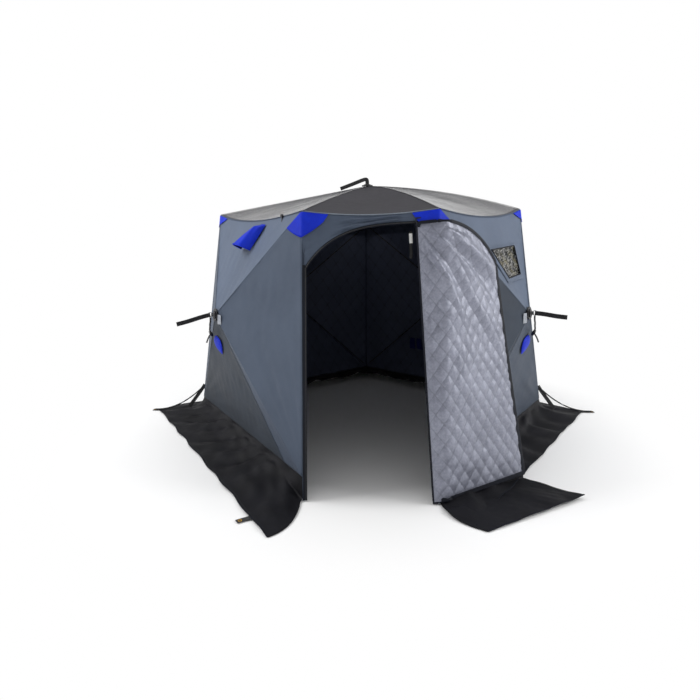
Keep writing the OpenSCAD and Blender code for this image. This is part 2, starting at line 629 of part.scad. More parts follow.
// The door's snow skirt: a band behind the foot of the door, and a flap that passes under it to the front.
skirt_cols = 12;
flap_z = skirt_t + 5.5;
flap_top = flap_z + skirt_t;
riser_h = 45;
flap_start = 42;        // first point of the skirt, from the hinge
main_dir = let (a = door_at(flap_start, 30, 0), b = door_at(760, 30, 0)) unit([b.x - a.x, b.y - a.y, 0]);
main_out = [main_dir.y, -main_dir.x, 0];
module door_skirt() {
    far = door_grid[0][door_cols][0];
    base = door_at(flap_start, 20, 0);
    sections = [for (k = [0:skirt_cols]) let (
        s = mix(flap_start, far - 2, k / skirt_cols),
        h = mix(door_grid[0][0][1], door_grid[0][door_cols][1], s / far),
        near = door_t / 2 + seat_gap,
        a = door_at(s, h + riser_h, near), b = door_at(s, h + riser_h, near + skirt_t),
        c = door_at(s, h - 6, near + skirt_t), d = door_at(s, h - 6, near),
        edge = base + main_dir * mix(34, door_flap_l, k / skirt_cols) + main_out * door_flap_w)
        [[c.x, c.y, flap_z], b, a, [d.x, d.y, flap_top], [edge.x, edge.y, flap_top], [edge.x, edge.y, flap_z]]];
    color(black) swept(sections);
}

left_wall();
right_wall();
back_left_wall();
back_right_wall();
front_wall();
left_roof();
right_roof();
back_left_roof();
back_right_roof();
front_roof();
left_skirt();
right_skirt();
back_left_skirt();
back_right_skirt();
left_hub();
right_hub();
back_left_hub();
back_right_hub();
roof_hub();
left_poles();
right_poles();
back_left_poles();
back_right_poles();
roof_poles();
left_pull_strap();
right_pull_strap();
back_left_pull_strap();
back_right_pull_strap();
left_corner_cap();
front_left_corner_cap();
front_right_corner_cap();
right_corner_cap();
back_corner_cap();
roof_strap();
vent_hood();
window_film();
window_frame();
rope_pockets();
grommet_tabs();
hinge_cord();
door_panel();
door_skirt();
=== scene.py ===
# %% [markdown]
# # A pop-up ice fishing hut
# The hut is a five-sided tent of coated cloth. In each solid wall four poles meet at a hub and push the wall
# out until the cloth is tight; five more poles meet under the top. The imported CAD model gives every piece's
# place, and this lesson dresses it: cloth, quilting, webbing, plastic and brass, each worked out with numpy.

import bpy
import numpy as np
from mathutils import Matrix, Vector
from numpy import cos, pi, sin


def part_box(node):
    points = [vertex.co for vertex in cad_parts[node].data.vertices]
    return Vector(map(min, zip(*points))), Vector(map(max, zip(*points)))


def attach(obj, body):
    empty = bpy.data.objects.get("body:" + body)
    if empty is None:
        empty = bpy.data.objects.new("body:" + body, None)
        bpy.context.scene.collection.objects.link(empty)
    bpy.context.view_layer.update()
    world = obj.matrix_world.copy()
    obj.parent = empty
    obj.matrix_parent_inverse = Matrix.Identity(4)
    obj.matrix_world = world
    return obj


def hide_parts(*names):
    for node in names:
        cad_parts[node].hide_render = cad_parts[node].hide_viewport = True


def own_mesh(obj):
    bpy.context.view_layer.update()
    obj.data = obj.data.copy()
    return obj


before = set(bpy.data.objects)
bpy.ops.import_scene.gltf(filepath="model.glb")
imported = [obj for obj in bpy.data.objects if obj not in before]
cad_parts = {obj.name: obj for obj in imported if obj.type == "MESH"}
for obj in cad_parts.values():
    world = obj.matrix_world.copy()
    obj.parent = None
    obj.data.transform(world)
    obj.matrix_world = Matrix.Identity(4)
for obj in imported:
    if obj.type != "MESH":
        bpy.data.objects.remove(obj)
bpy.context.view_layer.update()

# %% [markdown]
# ## Shader maths that reads like maths
# A material is a graph of nodes. Wiring each Math node by hand hides the idea, so one small class wraps a
# node's output: adding or multiplying two of them adds the Math node. Any other node comes from one method.

# %% A socket with operators, and a finish that makes nodes
class Socket:
    """A node's output. An operator on it adds the Math node that works it out."""

    def __init__(self, finish, link):
        self.finish, self.link = finish, link

    def math(self, operation, *others):
        return self.finish.node("ShaderNodeMath", {"operation": operation}, dict(enumerate((self, *others))))

    def __add__(self, other): return self.math("ADD", other)
    def __sub__(self, other): return self.math("SUBTRACT", other)
    def __mul__(self, other): return self.math("MULTIPLY", other)

    def __rsub__(self, other):
        return self.finish.node("ShaderNodeMath", {"operation": "SUBTRACT"}, {0: other, 1: self})

    def sin(self): return self.math("SINE")
    def abs(self): return self.math("ABSOLUTE")
    def power(self, exponent): return self.math("POWER", exponent)

    def between(self, low, high):
        """0 below low, 1 above high, and a smooth step from one to the other."""
        return self.finish.node("ShaderNodeMapRange", {"interpolation_type": "SMOOTHSTEP"},
                                {"Value": self, "From Min": low, "From Max": high})


class Finish:
    """A node material under construction."""

    def __init__(self, name, **shader):
        self.material = bpy.data.materials.new(name)
        self.material.use_nodes = True
        self.tree = self.material.node_tree
        self.shader = self.tree.nodes["Principled BSDF"]
        for socket, value in shader.items():
            self.shader.inputs[socket.replace("_", " ")].default_value = value

    def node(self, kind, settings=(), sockets=(), out=0):
        """Adds a node of this type: its settings first, then the values or links of its sockets."""
        node = self.tree.nodes.new(kind)
        for key, value in dict(settings).items():
            if key == "stops":
                ramp = node.color_ramp.elements
                while len(ramp) < len(value):
                    ramp.new(0.5)
                for stop, (position, colour) in zip(ramp, value):
                    stop.position, stop.color = position, (*colour, 1)
            else:
                setattr(node, key, value)
        for key, value in dict(sockets).items():
            self.put(node.inputs[key], value)
        return Socket(self, node.outputs[out])

    def put(self, socket, value):
        if isinstance(value, Socket):
            self.tree.links.new(value.link, socket)
        elif isinstance(value, tuple) and len(value) == 3 and len(socket.default_value) == 4:
            socket.default_value = (*value, 1)
        else:
            socket.default_value = value

    def set(self, socket, value):
        self.put(self.shader.inputs[socket], value)
        return self

    def axes(self):
        """The piece's own map, in metres, as separate U and V."""
        first = self.node("ShaderNodeSeparateXYZ", (), {0: self.node("ShaderNodeUVMap", {"uv_map": "UVMap"})})
        return first, Socket(self, first.link.node.outputs[1])

    def noise(self, scale, detail=3.0, roughness=0.55):
        place = self.node("ShaderNodeTexCoord", (), (), "Object")
        return self.node("ShaderNodeTexNoise", {"noise_dimensions": "3D"},
                         {"Vector": place, "Scale": scale, "Detail": detail, "Roughness": roughness})

    def blend(self, share, first, second):
        """A colour between two: Mix in colour mode keeps it a colour."""
        mixer = self.node("ShaderNodeMix", {"data_type": "RGBA"}, (), 2)
        node = mixer.link.node
        self.put(node.inputs[0], share)
        self.put(node.inputs[6], first)
        self.put(node.inputs[7], second)
        return mixer

    def bump(self, height, strength, distance, under=None):
        sockets = {"Height": height, "Strength": strength, "Distance": distance}
        if under:
            sockets["Normal"] = under
        return self.node("ShaderNodeBump", (), sockets)


def srgb(*shown):
    """Linear colour from the 0 to 255 values that a screen shows: ((c + 0.055) / 1.055) ^ 2.4."""
    c = np.array(shown) / 255
    return tuple(np.where(c <= 0.04045, c / 12.92, ((c + 0.055) / 1.055) ** 2.4).tolist())

# %% [markdown]
# ## Camera, floor and light
# The hut is shown from a standing person's eye height, a little left of its middle. A plain white floor
# keeps the shadow, and turns to the plain white of the background farther out.

# %% Camera
eye = np.array([-0.0498, -4.570, 1.530])
yaw, pitch, roll = -0.0737, -0.1478, -0.0144
FRAME = 700                     # the render's width and height
focal, shift = 521.6, (26.0, -22.3)     # both in the render's own steps
ahead = np.array([sin(yaw) * cos(pitch), cos(yaw) * cos(pitch), sin(pitch)])
right = np.array([cos(yaw), -sin(yaw), 0.0])
above = np.cross(right, ahead)
right, above = (right * cos(roll) + above * sin(roll), above * cos(roll) - right * sin(roll))

camera = bpy.data.objects.new("camera", bpy.data.cameras.new("camera"))
bpy.context.collection.objects.link(camera)
axes = np.eye(4)
axes[:3, 0], axes[:3, 1], axes[:3, 2], axes[:3, 3] = right, above, -ahead, eye
camera.matrix_world = Matrix(axes.tolist())
camera.data.sensor_width = 36
camera.data.lens = camera.data.sensor_width * focal / FRAME
camera.data.shift_x, camera.data.shift_y = (part / FRAME for part in shift)
camera.data.clip_end = 100
bpy.context.scene.camera = camera
bpy.context.scene.view_settings.view_transform = "Standard"
print("lens", round(camera.data.lens, 2), "mm")

# %% Floor, world and lamps
WHITE_FROM = (1.97, 2.6)        # the floor turns plain white between these distances from the middle
FLOOR_HALF, FLOOR_Z = 30, -0.001
floor_finish = Finish("studio_floor", Base_Color=(0.96, 0.96, 0.96, 1), Roughness=0.9)
floor_finish.set("Specular IOR Level", 0.1)
shown = floor_finish.node("ShaderNodeLightPath", (), (), "Is Camera Ray")
place = floor_finish.node("ShaderNodeTexCoord", (), (), "Object")
distance = floor_finish.node("ShaderNodeVectorMath", {"operation": "LENGTH"}, {0: place}, "Value")
away = distance.between(*WHITE_FROM)
glow = floor_finish.node("ShaderNodeEmission", (), {"Color": (1.0, 1.0, 1.0), "Strength": 1.0})
plain = Socket(floor_finish, floor_finish.shader.outputs[0])
ground_mix = floor_finish.node("ShaderNodeMixShader", (), {0: away * shown, 1: plain, 2: glow})
floor_finish.tree.links.new(ground_mix.link, floor_finish.tree.nodes["Material Output"].inputs["Surface"])

floor_mesh = bpy.data.meshes.new("floor")
floor_corners = [(x * FLOOR_HALF, y * FLOOR_HALF, FLOOR_Z) for x, y in ((-1, -1), (1, -1), (1, 1), (-1, 1))]
floor_mesh.from_pydata(floor_corners, [], [(0, 1, 2, 3)])
floor = bpy.data.objects.new("floor", floor_mesh)
floor_mesh.materials.append(floor_finish.material)
bpy.context.collection.objects.link(floor)

world = bpy.data.worlds.new("studio")
world.use_nodes = True
bpy.context.scene.world = world
light = Finish.__new__(Finish)
light.tree = world.node_tree
backdrop = light.tree.nodes["Background"]
path = light.node("ShaderNodeLightPath", (), (), "Is Camera Ray")
glossy = Socket(light, path.link.node.outputs["Is Glossy Ray"])
clear = Socket(light, path.link.node.outputs["Is Transmission Ray"])
white = path.math("MAXIMUM", clear)
# Reflections see a bright horizon and a darker ceiling, as in a studio with tall side walls.
toward = light.node("ShaderNodeTexCoord", (), (), "Generated")
upward = Socket(light, light.node("ShaderNodeSeparateXYZ", (), {0: toward}, "Z").link)
horizon = 1 - upward.between(0.15, 0.29)
light.put(backdrop.inputs["Color"], (1.0, 1.0, 1.0))
light.put(backdrop.inputs["Strength"], white * 0.4 + 0.6 + glossy * (horizon * 1.1 - 0.35))


def softbox(name, place, target, size, watts):
    """A square lamp at place that faces target."""
    lamp = bpy.data.objects.new(name, bpy.data.lights.new(name, "AREA"))
    lamp.data.energy, lamp.data.size = watts, size
    back = np.array(place, float) - np.array(target, float)
    back /= np.linalg.norm(back)
    side = np.cross([0, 0, 1.0], back)
    side /= np.linalg.norm(side)
    pose = np.eye(4)
    pose[:3, 0], pose[:3, 1], pose[:3, 2], pose[:3, 3] = side, np.cross(back, side), back, place
    lamp.matrix_world = Matrix(pose.tolist())
    bpy.context.collection.objects.link(lamp)
    return lamp


softbox("key_left", (-5.2, -1.0, 5.2), (0, 0, 1.0), 3.0, 215)
softbox("fill_right", (5.8, -1.6, 3.4), (0, 0, 1.0), 3.0, 180)
softbox("overhead", (0, 0.6, 6.4), (0, 0, 1.5), 4.0, 70)
softbox("inside", (0, 0.85, 1.70), (0, 0.80, 0), 0.8, 0.42)
print("lamps: 4")

# %% [markdown]
# ## The hut's measure
# Five corners stand on the ground and lean in towards the top. The door face is narrow; the four other
# sides are hub walls, and each has its peak where its hub is. These are the CAD model's own sizes, in metres.

# %% Corners, hubs and eaves
DOOR_HALF, DOOR_Y = 0.420, -1.565       # half the door face's width, and where its foot stands
DOOR_BACK, DOOR_TALL = 0.270, 1.770     # how far it leans back, and its height
WALL_IN, WALL_TALL = 0.263, 1.860       # the same of the other corners
EAVE_SAG, DOOR_SAG = 0.065, 0.032       # how deep the eaves sag over a hub wall and over the door
corner_ground = np.array([[-1.590, 0.205, 0], [-DOOR_HALF, DOOR_Y, 0], [DOOR_HALF, DOOR_Y, 0],
                          [1.590, 0.205, 0], [0, 1.565, 0]])
apex = np.array([0, 0.165, 2.080])
band_h, hub_h, hub_bulge = 0.150, 1.060, 0.267
LEFT, FRONT, RIGHT, BACK_RIGHT, BACK_LEFT = range(5)
SIDES = {"left": LEFT, "front": FRONT, "right": RIGHT, "back_right": BACK_RIGHT, "back_left": BACK_LEFT}
HUB_WALLS = {name: i for name, i in SIDES.items() if i != FRONT}
UP = np.array([0, 0, 1.0])


def unit(v):
    v = np.asarray(v, float)
    return v / np.linalg.norm(v, axis=-1, keepdims=True)


def mix(a, b, t):
    """a + (b - a) t, with t spread over the points' rows where it is an array."""
    t = np.asarray(t, float)
    a, b = np.asarray(a, float), np.asarray(b, float)
    return a + (b - a) * (t[..., None] if t.ndim and a.ndim else t)


def steps(count):
    """count even steps from 0 to 1."""
    return np.linspace(0, 1, count)


def smooth(x, low=0.0, high=1.0):
    """0 below low, 1 above high, and 3x² - 2x³ between."""
    x = np.clip((np.asarray(x, float) - low) / (high - low), 0, 1)
    return x * x * (3 - 2 * x)


flat_in = unit(np.c_[(apex - corner_ground)[:, :2], np.zeros(5)])
corner_top = corner_ground + flat_in * WALL_IN + [0, 0, WALL_TALL]
for door_corner in (1, 2):
    corner_top[door_corner] = corner_ground[door_corner] + [0, DOOR_BACK, DOOR_TALL]


def pair(u, v):
    """Two grids of numbers, or two that spread to one grid, as a grid of pairs."""
    return np.stack(np.broadcast_arrays(u, v), -1)


def edge_at(c, z):
    """Point of corner c's edge at height z: the edge is straight from the ground to its top."""
    return mix(corner_ground[c % 5], corner_top[c % 5], np.asarray(z) / corner_top[c % 5][2])


def across_wall(i, z, t):
    """Along side i at height z, from its first corner's edge to its second one's."""
    return mix(edge_at(i, z), edge_at(i + 1, z), t)


def side_dir(i):
    return unit(corner_ground[(i + 1) % 5] - corner_ground[i])


def side_normal(i):
    e = side_dir(i)
    return np.array([e[1], -e[0], 0.0])


def hub_at(i):
    """Peak of hub wall i: the middle of the wall at the hub's height, moved out by the bulge."""
    return across_wall(i, hub_h, 0.5) + side_normal(i) * hub_bulge


def eave(i, t, drop=0.0):
    """The eaves of side i sag in a parabola, 4 t (1 - t) deep, towards the hub, or down the door face."""
    a, b = edge_at(i, corner_top[i][2] - drop), edge_at(i + 1, corner_top[(i + 1) % 5][2] - drop)
    middle = (a + b) / 2
    foot = (corner_ground[1] + corner_ground[2]) / 2 if i == FRONT else hub_at(i)
    t = np.asarray(t, float)
    sag = DOOR_SAG if i == FRONT else EAVE_SAG
    return mix(a, b, t) + unit(foot - middle) * (4 * t * (1 - t) * sag)[..., None]


def wall_corners(i):
    """The four outer corners of a hub wall, from the near foot round to the near top."""
    return [edge_at(i, band_h), edge_at(i + 1, band_h), corner_top[(i + 1) % 5], corner_top[i]]


BELOW, ABOVE = 0, 2


def panel_normals(i):
    """Normals of a hub wall's four panels, of which the first is BELOW the hub and the third ABOVE it."""
    rim, hub = wall_corners(i), hub_at(i)
    return np.array([unit(np.cross(rim[k] - hub, rim[(k + 1) % 4] - hub)) for k in range(4)])


def wall_lean(i):
    """The middle of the side's two leaning edges, as a vector from foot to top."""
    return (corner_top[i] + corner_top[(i + 1) % 5] - corner_ground[i] - corner_ground[(i + 1) % 5]) / 2


for name, i in HUB_WALLS.items():
    print(name, "hub", np.round(hub_at(i), 3), "CAD wall top", round(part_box(name + "_wall")[1].z, 3))

# %% [markdown]
# ## Cloth as a function on a grid
# Every panel of cloth is a grid of points worked out from two parameters. Wrinkles are added along the
# panel's normal: a fan of creases runs out of a corner that is pulled, and a few sine waves make it drape.

# %% Surfaces, sweeps and wrinkles
def add_piece(name, verts, faces, uv, finishes):
    """A mesh object at the origin; uv gives each vertex its place in metres on the cloth."""
    mesh = bpy.data.meshes.new(name)
    mesh.from_pydata(np.asarray(verts, float).tolist(), [], faces)
    loops = np.empty(len(mesh.loops), np.int32)
    mesh.loops.foreach_get("vertex_index", loops)
    layer = mesh.uv_layers.new(name="UVMap")
    layer.data.foreach_set("uv", np.asarray(uv, np.float32)[loops].ravel())
    mesh.polygons.foreach_set("use_smooth", np.ones(len(mesh.polygons), bool))
    for finish in finishes:
        mesh.materials.append(finish.material)
    piece = bpy.data.objects.new(name, mesh)
    bpy.context.collection.objects.link(piece)
    mesh.update()
    return piece


def grid_faces(rows, cols, flip=False, wrap=False):
    """Quads of a grid: (r, c), (r, c+1), (r+1, c+1), (r+1, c), or the other way round."""
    index = np.arange(rows * cols).reshape(rows, cols)
    if wrap:
        index = np.c_[index, index[:, :1]]
    quads = np.stack([index[:-1, :-1], index[:-1, 1:], index[1:, 1:], index[1:, :-1]], -1).reshape(-1, 4)
    return (quads[:, ::-1] if flip else quads).tolist()


def cloth(name, points, uv, outside, inside=None, thick=0.003, flip=False, tone=None, keep=None):
    """A sheet of cloth on a grid of points, with its other face thick behind it. keep masks its faces."""
    rows, cols = points.shape[:2]
    faces = np.array(grid_faces(rows, cols, flip))
    keep = np.ones(len(faces), bool) if keep is None else keep.ravel()
    used = np.unique(faces[keep])
    renumber = np.zeros(rows * cols, int)
    renumber[used] = np.arange(len(used))
    finishes = [outside, inside] if inside else [outside]
    piece = add_piece(name, points.reshape(-1, 3)[used], renumber[faces[keep]].tolist(),
                      uv.reshape(-1, 2)[used], finishes)
    if tone is not None:
        values = tone.ravel()[keep].astype(np.float32)
        piece.data.attributes.new("tone", "FLOAT", "FACE").data.foreach_set("value", values)
    if thick:
        solid = piece.modifiers.new("thickness", "SOLIDIFY")
        solid.thickness, solid.offset = thick, -1
        if inside:
            solid.material_offset = 1
    return piece


def run_of(points):
    """Length along a line of points, from its first point to each of them."""
    return np.r_[0, np.cumsum(np.linalg.norm(np.diff(points, axis=0), axis=1))]


def sweep(name, path, profile, across, finish):
    """A profile carried along a path: each ring is path + x * across + y * (direction x across)."""
    path = np.asarray(path, float)
    along = unit(np.gradient(path, axis=0))
    across = np.broadcast_to(np.asarray(across, float), path.shape)
    across = unit(across - along * (across * along).sum(1, keepdims=True))
    up = np.cross(along, across)
    rings = path[:, None] + profile[None, :, :1] * across[:, None] + profile[None, :, 1:] * up[:, None]
    rows, cols = rings.shape[:2]
    faces = grid_faces(rows, cols, wrap=True, flip=True)
    faces += [list(range(cols)), list(range((rows - 1) * cols, rows * cols))[::-1]]
    uv = pair(run_of(profile)[None], run_of(path)[:, None])
    return add_piece(name, rings.reshape(-1, 3), faces, uv.reshape(-1, 2), [finish])


def declare_sheet(piece, points, held, uv=None, flat=None, **more):
    """Declare a sheet by its cut: its spread in uv, or its longest row and column, and its cells' area."""
    near, *others = points[:-1, :-1], points[:-1, 1:], points[1:, 1:], points[1:, :-1]
    first, second, third = (corner - near for corner in others)
    halves = np.cross(first, second), np.cross(second, third)
    area = sum(np.linalg.norm(half, axis=-1).sum() for half in halves) / 2
    width, length = (np.linalg.norm(np.diff(points, axis=a), axis=-1).sum(a).max() for a in (1, 0))
    if uv is not None:
        width, length = np.ptp(uv.reshape(-1, 2), axis=0)
    if flat is not None:
        width, length = flat
    width, length = round(float(width), 3), round(float(length), 3)
    area = round(float(np.clip(area, SLIMMEST * width * length, FULLEST * width * length)), 7)
    sheets.append((piece.name, width, length, area, held))


sheets = []
SLIMMEST, FULLEST = 0.31, 0.999     # least and most of its flat rectangle that a sheet may cover


def dress(slot, *parts, body="shelter", stands_for=None):
    """Put the pieces on a body; slot is not used. The first one may stand for a CAD node."""
    for part in parts:
        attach(part, body)
    if stands_for:
        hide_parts(stands_for)


def round_profile(radius, sides=10):
    a = np.arange(sides) * 2 * pi / sides
    return np.c_[cos(a), sin(a)] * radius


def flat_profile(width, thick, sides=16):
    """A strap's section: a superellipse, |x|^n + |y|^n = 1 with n = 5, so flat with rounded edges."""
    a = np.arange(sides) * 2 * pi / sides
    c, s = cos(a), sin(a)
    return np.c_[np.sign(c) * abs(c) ** 0.4 * width / 2, np.sign(s) * abs(s) ** 0.4 * thick / 2]


def ripple(u, v, wave, seed, count=7):
    """Drape: the sum of count sine waves in random directions, each about wave long, mostly -1 to 1."""
    rng = np.random.default_rng(seed)
    turn, phase = rng.uniform(0, pi, count), rng.uniform(0, 2 * pi, count)
    k = 2 * pi / wave * rng.uniform(0.6, 1.6, count)
    total = sum(sin(k[j] * (u * cos(turn[j]) + v * sin(turn[j])) + phase[j]) for j in range(count))
    return total / (0.7 * count ** 0.5) / 1.5


def crease_fan(u, v, at, reach, waves, seed):
    """Creases that run out of a pulled point: a wave over the angle round it, which fades with distance."""
    du, dv = u - at[0], v - at[1]
    far, angle = np.hypot(du, dv), np.arctan2(dv, du)
    rng = np.random.default_rng(seed)
    lines = sum(sin(angle * w + rng.uniform(0, 6.28)) for w in (waves, waves * 1.7, waves * 2.9)) / 3
    return lines * smooth(far, 0, reach * 0.15) * (1 - smooth(far, reach * 0.3, reach))


def join(name, pieces):
    """Several meshes as one piece, with each one's finishes kept."""
    with bpy.context.temp_override(active_object=pieces[0], selected_editable_objects=pieces):
        bpy.ops.object.join()
    pieces[0].name = name
    return pieces[0]


def resample(points, count):
    """count points at even steps along a line of points."""
    points = np.asarray(points, float)
    run = run_of(points)
    at = np.linspace(0, run[-1], count)
    return np.stack([np.interp(at, run, points[:, k]) for k in range(3)], 1)


def curve_through(points, count):
    """A smooth line through a few points: corners are cut at a quarter and three quarters, three times."""
    points = np.asarray(points, float)
    for _ in range(3):
        quarter = mix(points[:-1], points[1:], 0.25)
        three = mix(points[:-1], points[1:], 0.75)
        points = np.r_[points[:1], np.stack([quarter, three], 1).reshape(-1, 3)[1:-1], points[-1:]]
    return resample(points, count)

# %% [markdown]
# ## Finishes for cloth
# The walls are coated polyester: a fine weave in the bump, a slow mottle in the colour and a faint sheen.
# Each panel has its own tone, kept on its faces as an attribute: painted light and shade, with the upper
# panels lighter, as lit from above, and the lower ones darker. The lining inside is dark and quilted.

# %% Woven cloth, and the wall, roof, skirt and cap finishes
def woven(name, colours, painted_light_tones=None, thread=0.0016, mottle=3.0, rough=0.62, sheen=0.0, wrinkle=0.25):
    """Plain weave: |sin u| and |sin v| ridges, on a colour that wanders between two colours.

    With a second pair of colours, each face's tone blends from the first pair, the cloth painted as in shade,
    to the second, the cloth painted as lit: painted light and shade.
    """
    finish = Finish(name, Roughness=rough, Specular_IOR_Level=0.22, Sheen_Weight=sheen, Sheen_Roughness=0.45)
    u, v = finish.axes()
    cloud = finish.noise(mottle, 4.0)
    dust = finish.noise(28.0, 3.0)
    share = (cloud * 0.75 + dust * 0.25).between(0.3, 0.7)
    base = finish.blend(share, *(srgb(*c) for c in colours))
    # Painted light: each face's tone blends the shaded colours towards the lit ones.
    if painted_light_tones:
        tone = finish.node("ShaderNodeAttribute", {"attribute_name": "tone"}, (), "Fac")
        base = finish.blend(tone, base, finish.blend(share, *(srgb(*c) for c in painted_light_tones)))
    threads = (u * (pi / thread)).sin().abs() + (v * (pi / thread)).sin().abs()
    fine = finish.bump(threads, 0.25, 0.0004)
    creased = finish.noise(7.0, 4.0, roughness=0.5)
    finish.set("Base Color", base)
    finish.set("Roughness", share * 0.12 + (rough - 0.06))
    finish.set("Normal", finish.bump(creased, wrinkle, 0.012, fine))
    return finish


# SLATE is the wall cloth painted as in shade, and the paler slate the same cloth painted as lit.
SLATE, LIT_SLATE = ((44, 51, 61), (52, 60, 71)), ((86, 98, 118), (95, 107, 127))
ROOF_GRAY, TAPE = ((46, 45, 51), (55, 54, 60)), ((10, 13, 22), (18, 22, 34))
wall_out = woven("slate_cloth", SLATE, LIT_SLATE, sheen=0.05)
# Painted shade: the front roof panel takes a copy of the roof cloth without sheen, so it renders darker than
# the sides.
roof_out = woven("roof_cloth", ROOF_GRAY, rough=0.5, sheen=1.0, wrinkle=0.12)
roof_front_shaded_out = woven("roof_front_shaded_cloth", ROOF_GRAY, rough=0.5, wrinkle=0.12)
roof_out.set("Sheen Roughness", 0.22)
skirt_out = woven("skirt_cloth", ((14, 14, 19), (24, 24, 30)), mottle=5.0, wrinkle=0.35)
blue_out = woven("blue_cloth", ((2, 34, 176), (6, 46, 200)), mottle=6.0, rough=0.6, wrinkle=0.3)
binding_out = woven("binding_tape", TAPE, thread=0.0022, rough=0.6, wrinkle=0.1)
inner_blue = woven("inner_blue_cloth", ((10, 18, 74), (16, 26, 92)), thread=0.0022, rough=0.6, wrinkle=0.1)


QUILT_PITCH, QUILT_WIDE, QUILT_TALL = 0.072, 0.80, 0.60


def quilted(name, colours, pitch, rough, metal, seam, strength):
    """Padded lining: diamonds between crossing stitch lines, (|sin a| |sin b|) ^ 0.4 high."""
    quilt = Finish(name, Roughness=rough, Metallic=metal, Specular_IOR_Level=0.5)
    u, v = quilt.axes()
    across, along = u * (pi * QUILT_WIDE / pitch), v * (pi * QUILT_TALL / pitch)
    puff = ((across + along).sin().abs() * (across - along).sin().abs()).power(0.4)
    cloud = quilt.noise(5.0, 5.0)
    crumple = quilt.noise(70.0, 6.0, roughness=0.65)
    share = (cloud * 0.45 + crumple * 0.55).between(0.35, 0.68)
    # Painted shade: the valleys between the puffs, along the stitch lines, are darkened by seam.
    painted_valley_shade = (1 - puff.between(0.05, 0.5)) * seam
    first, second = (srgb(*c) for c in colours)
    padding = quilt.blend(share, first, second)
    quilt.set("Base Color", quilt.blend(painted_valley_shade, padding, tuple(0.35 * c for c in first)))
    quilt.set("Roughness", share * 0.16 + (rough - 0.08))
    quilt.set("Normal", quilt.bump(crumple, 0.3, 0.003, quilt.bump(puff, strength, 0.006)))
    return quilt


lining_in = quilted("dark_lining", ((60, 66, 86), (72, 79, 100)), 0.110, 0.7, 0.0, 0.5, 0.4)
silver_in = quilted("silver_quilt", ((121, 124, 138), (150, 153, 168)), QUILT_PITCH, 0.42, 0.2, 0.35, 0.35)


def moulded(name, colour, rough=0.45, grain=220.0, depth=0.0004, metal=0.0):
    """Moulded or drawn stock: a fine grain in the bump, and rubbed spots that are a little smoother."""
    stock = Finish(name, Roughness=rough, Metallic=metal)
    rub = stock.noise(30.0, 4.0)
    worn = rub.between(0.35, 0.75)
    stock.set("Base Color", stock.blend(worn, colour, tuple(min(1.0, c * 1.35 + 0.004) for c in colour)))
    stock.set("Roughness", rough + 0.1 - worn * 0.2)
    stock.set("Normal", stock.bump(stock.noise(grain, 2.0), 0.3, depth))
    return stock


hub_plastic = moulded("hub_plastic", srgb(22, 22, 25), 0.4)
pole_glass = moulded("pole_fibreglass", srgb(26, 26, 29), 0.3, 400.0, 0.0001)
brass = moulded("brass", srgb(190, 150, 72), 0.32, 500.0, 0.0001, 1.0)
steel = moulded("steel", srgb(150, 152, 156), 0.35, 500.0, 0.0001, 1.0)
patch_gray = moulded("reflective_patch", srgb(150, 154, 162), 0.35, 600.0, 0.0003)
tag_white = moulded("woven_tag", srgb(216, 216, 214), 0.7, 700.0, 0.0003)


def webbing_finish(name, colour, rib=0.0016):
    """Webbing: ribs across the strap, crossed by a coarser and weaker wave along it."""
    web = Finish(name, Roughness=0.75, Sheen_Weight=0.2, Sheen_Roughness=0.5)
    u, v = web.axes()
    ribs = (v * (pi / rib)).sin().abs() + (u * (pi / (rib * 1.4))).sin().abs() * 0.5
    worn = web.noise(40.0, 4.0).between(0.4, 0.75)
    web.set("Base Color", web.blend(worn, colour, tuple(c * 1.8 + 0.004 for c in colour)))
    web.set("Normal", web.bump(ribs, 0.5, 0.0006))
    return web


black_web = webbing_finish("black_webbing", srgb(18, 18, 21))
rope_web = webbing_finish("braided_rope", srgb(12, 12, 14), 0.004)
print("finishes:", len(bpy.data.materials))

# %% [markdown]
# ## Hub walls
# A hub wall is four triangles of cloth that meet at the hub, with poles under their seams. The grid runs
# round the wall's outline and from the hub out to it: a point is hub + r (outline - hub). Between the
# seams the cloth is drawn in by a few millimetres, and creases run out of the two lower corners.

# %% The walls
SIDE_STEPS, RINGS = 56, 52      # cells along each side of a wall, and from its hub to its rim
LOW_SHARE = 0.125               # the lowest panel stops this share of the side short of the door
CLOTH_THICK = 0.003
HUB_SHARE = 0.03                # a hub covers this share of the way out, in the walls and in the roof


def wall_outline(i):
    """Round the wall: along the band, up the far edge, back along the sagging eaves, down the near edge."""
    t = np.arange(SIDE_STEPS) / SIDE_STEPS
    far_top, near_top = corner_top[(i + 1) % 5][2], corner_top[i][2]
    foot = band_h - 0.004
    return np.r_[across_wall(i, foot, t), mix(edge_at(i + 1, foot), edge_at(i + 1, far_top - 0.002), t),
                 eave(i, 1 - t, 0.002), mix(edge_at(i, near_top - 0.002), edge_at(i, foot), t)]


def wall_uv(i, points):
    """Metres along the side and up the wall's lean."""
    rel = points - corner_ground[i]
    return pair(rel @ side_dir(i), rel @ unit(wall_lean(i)))


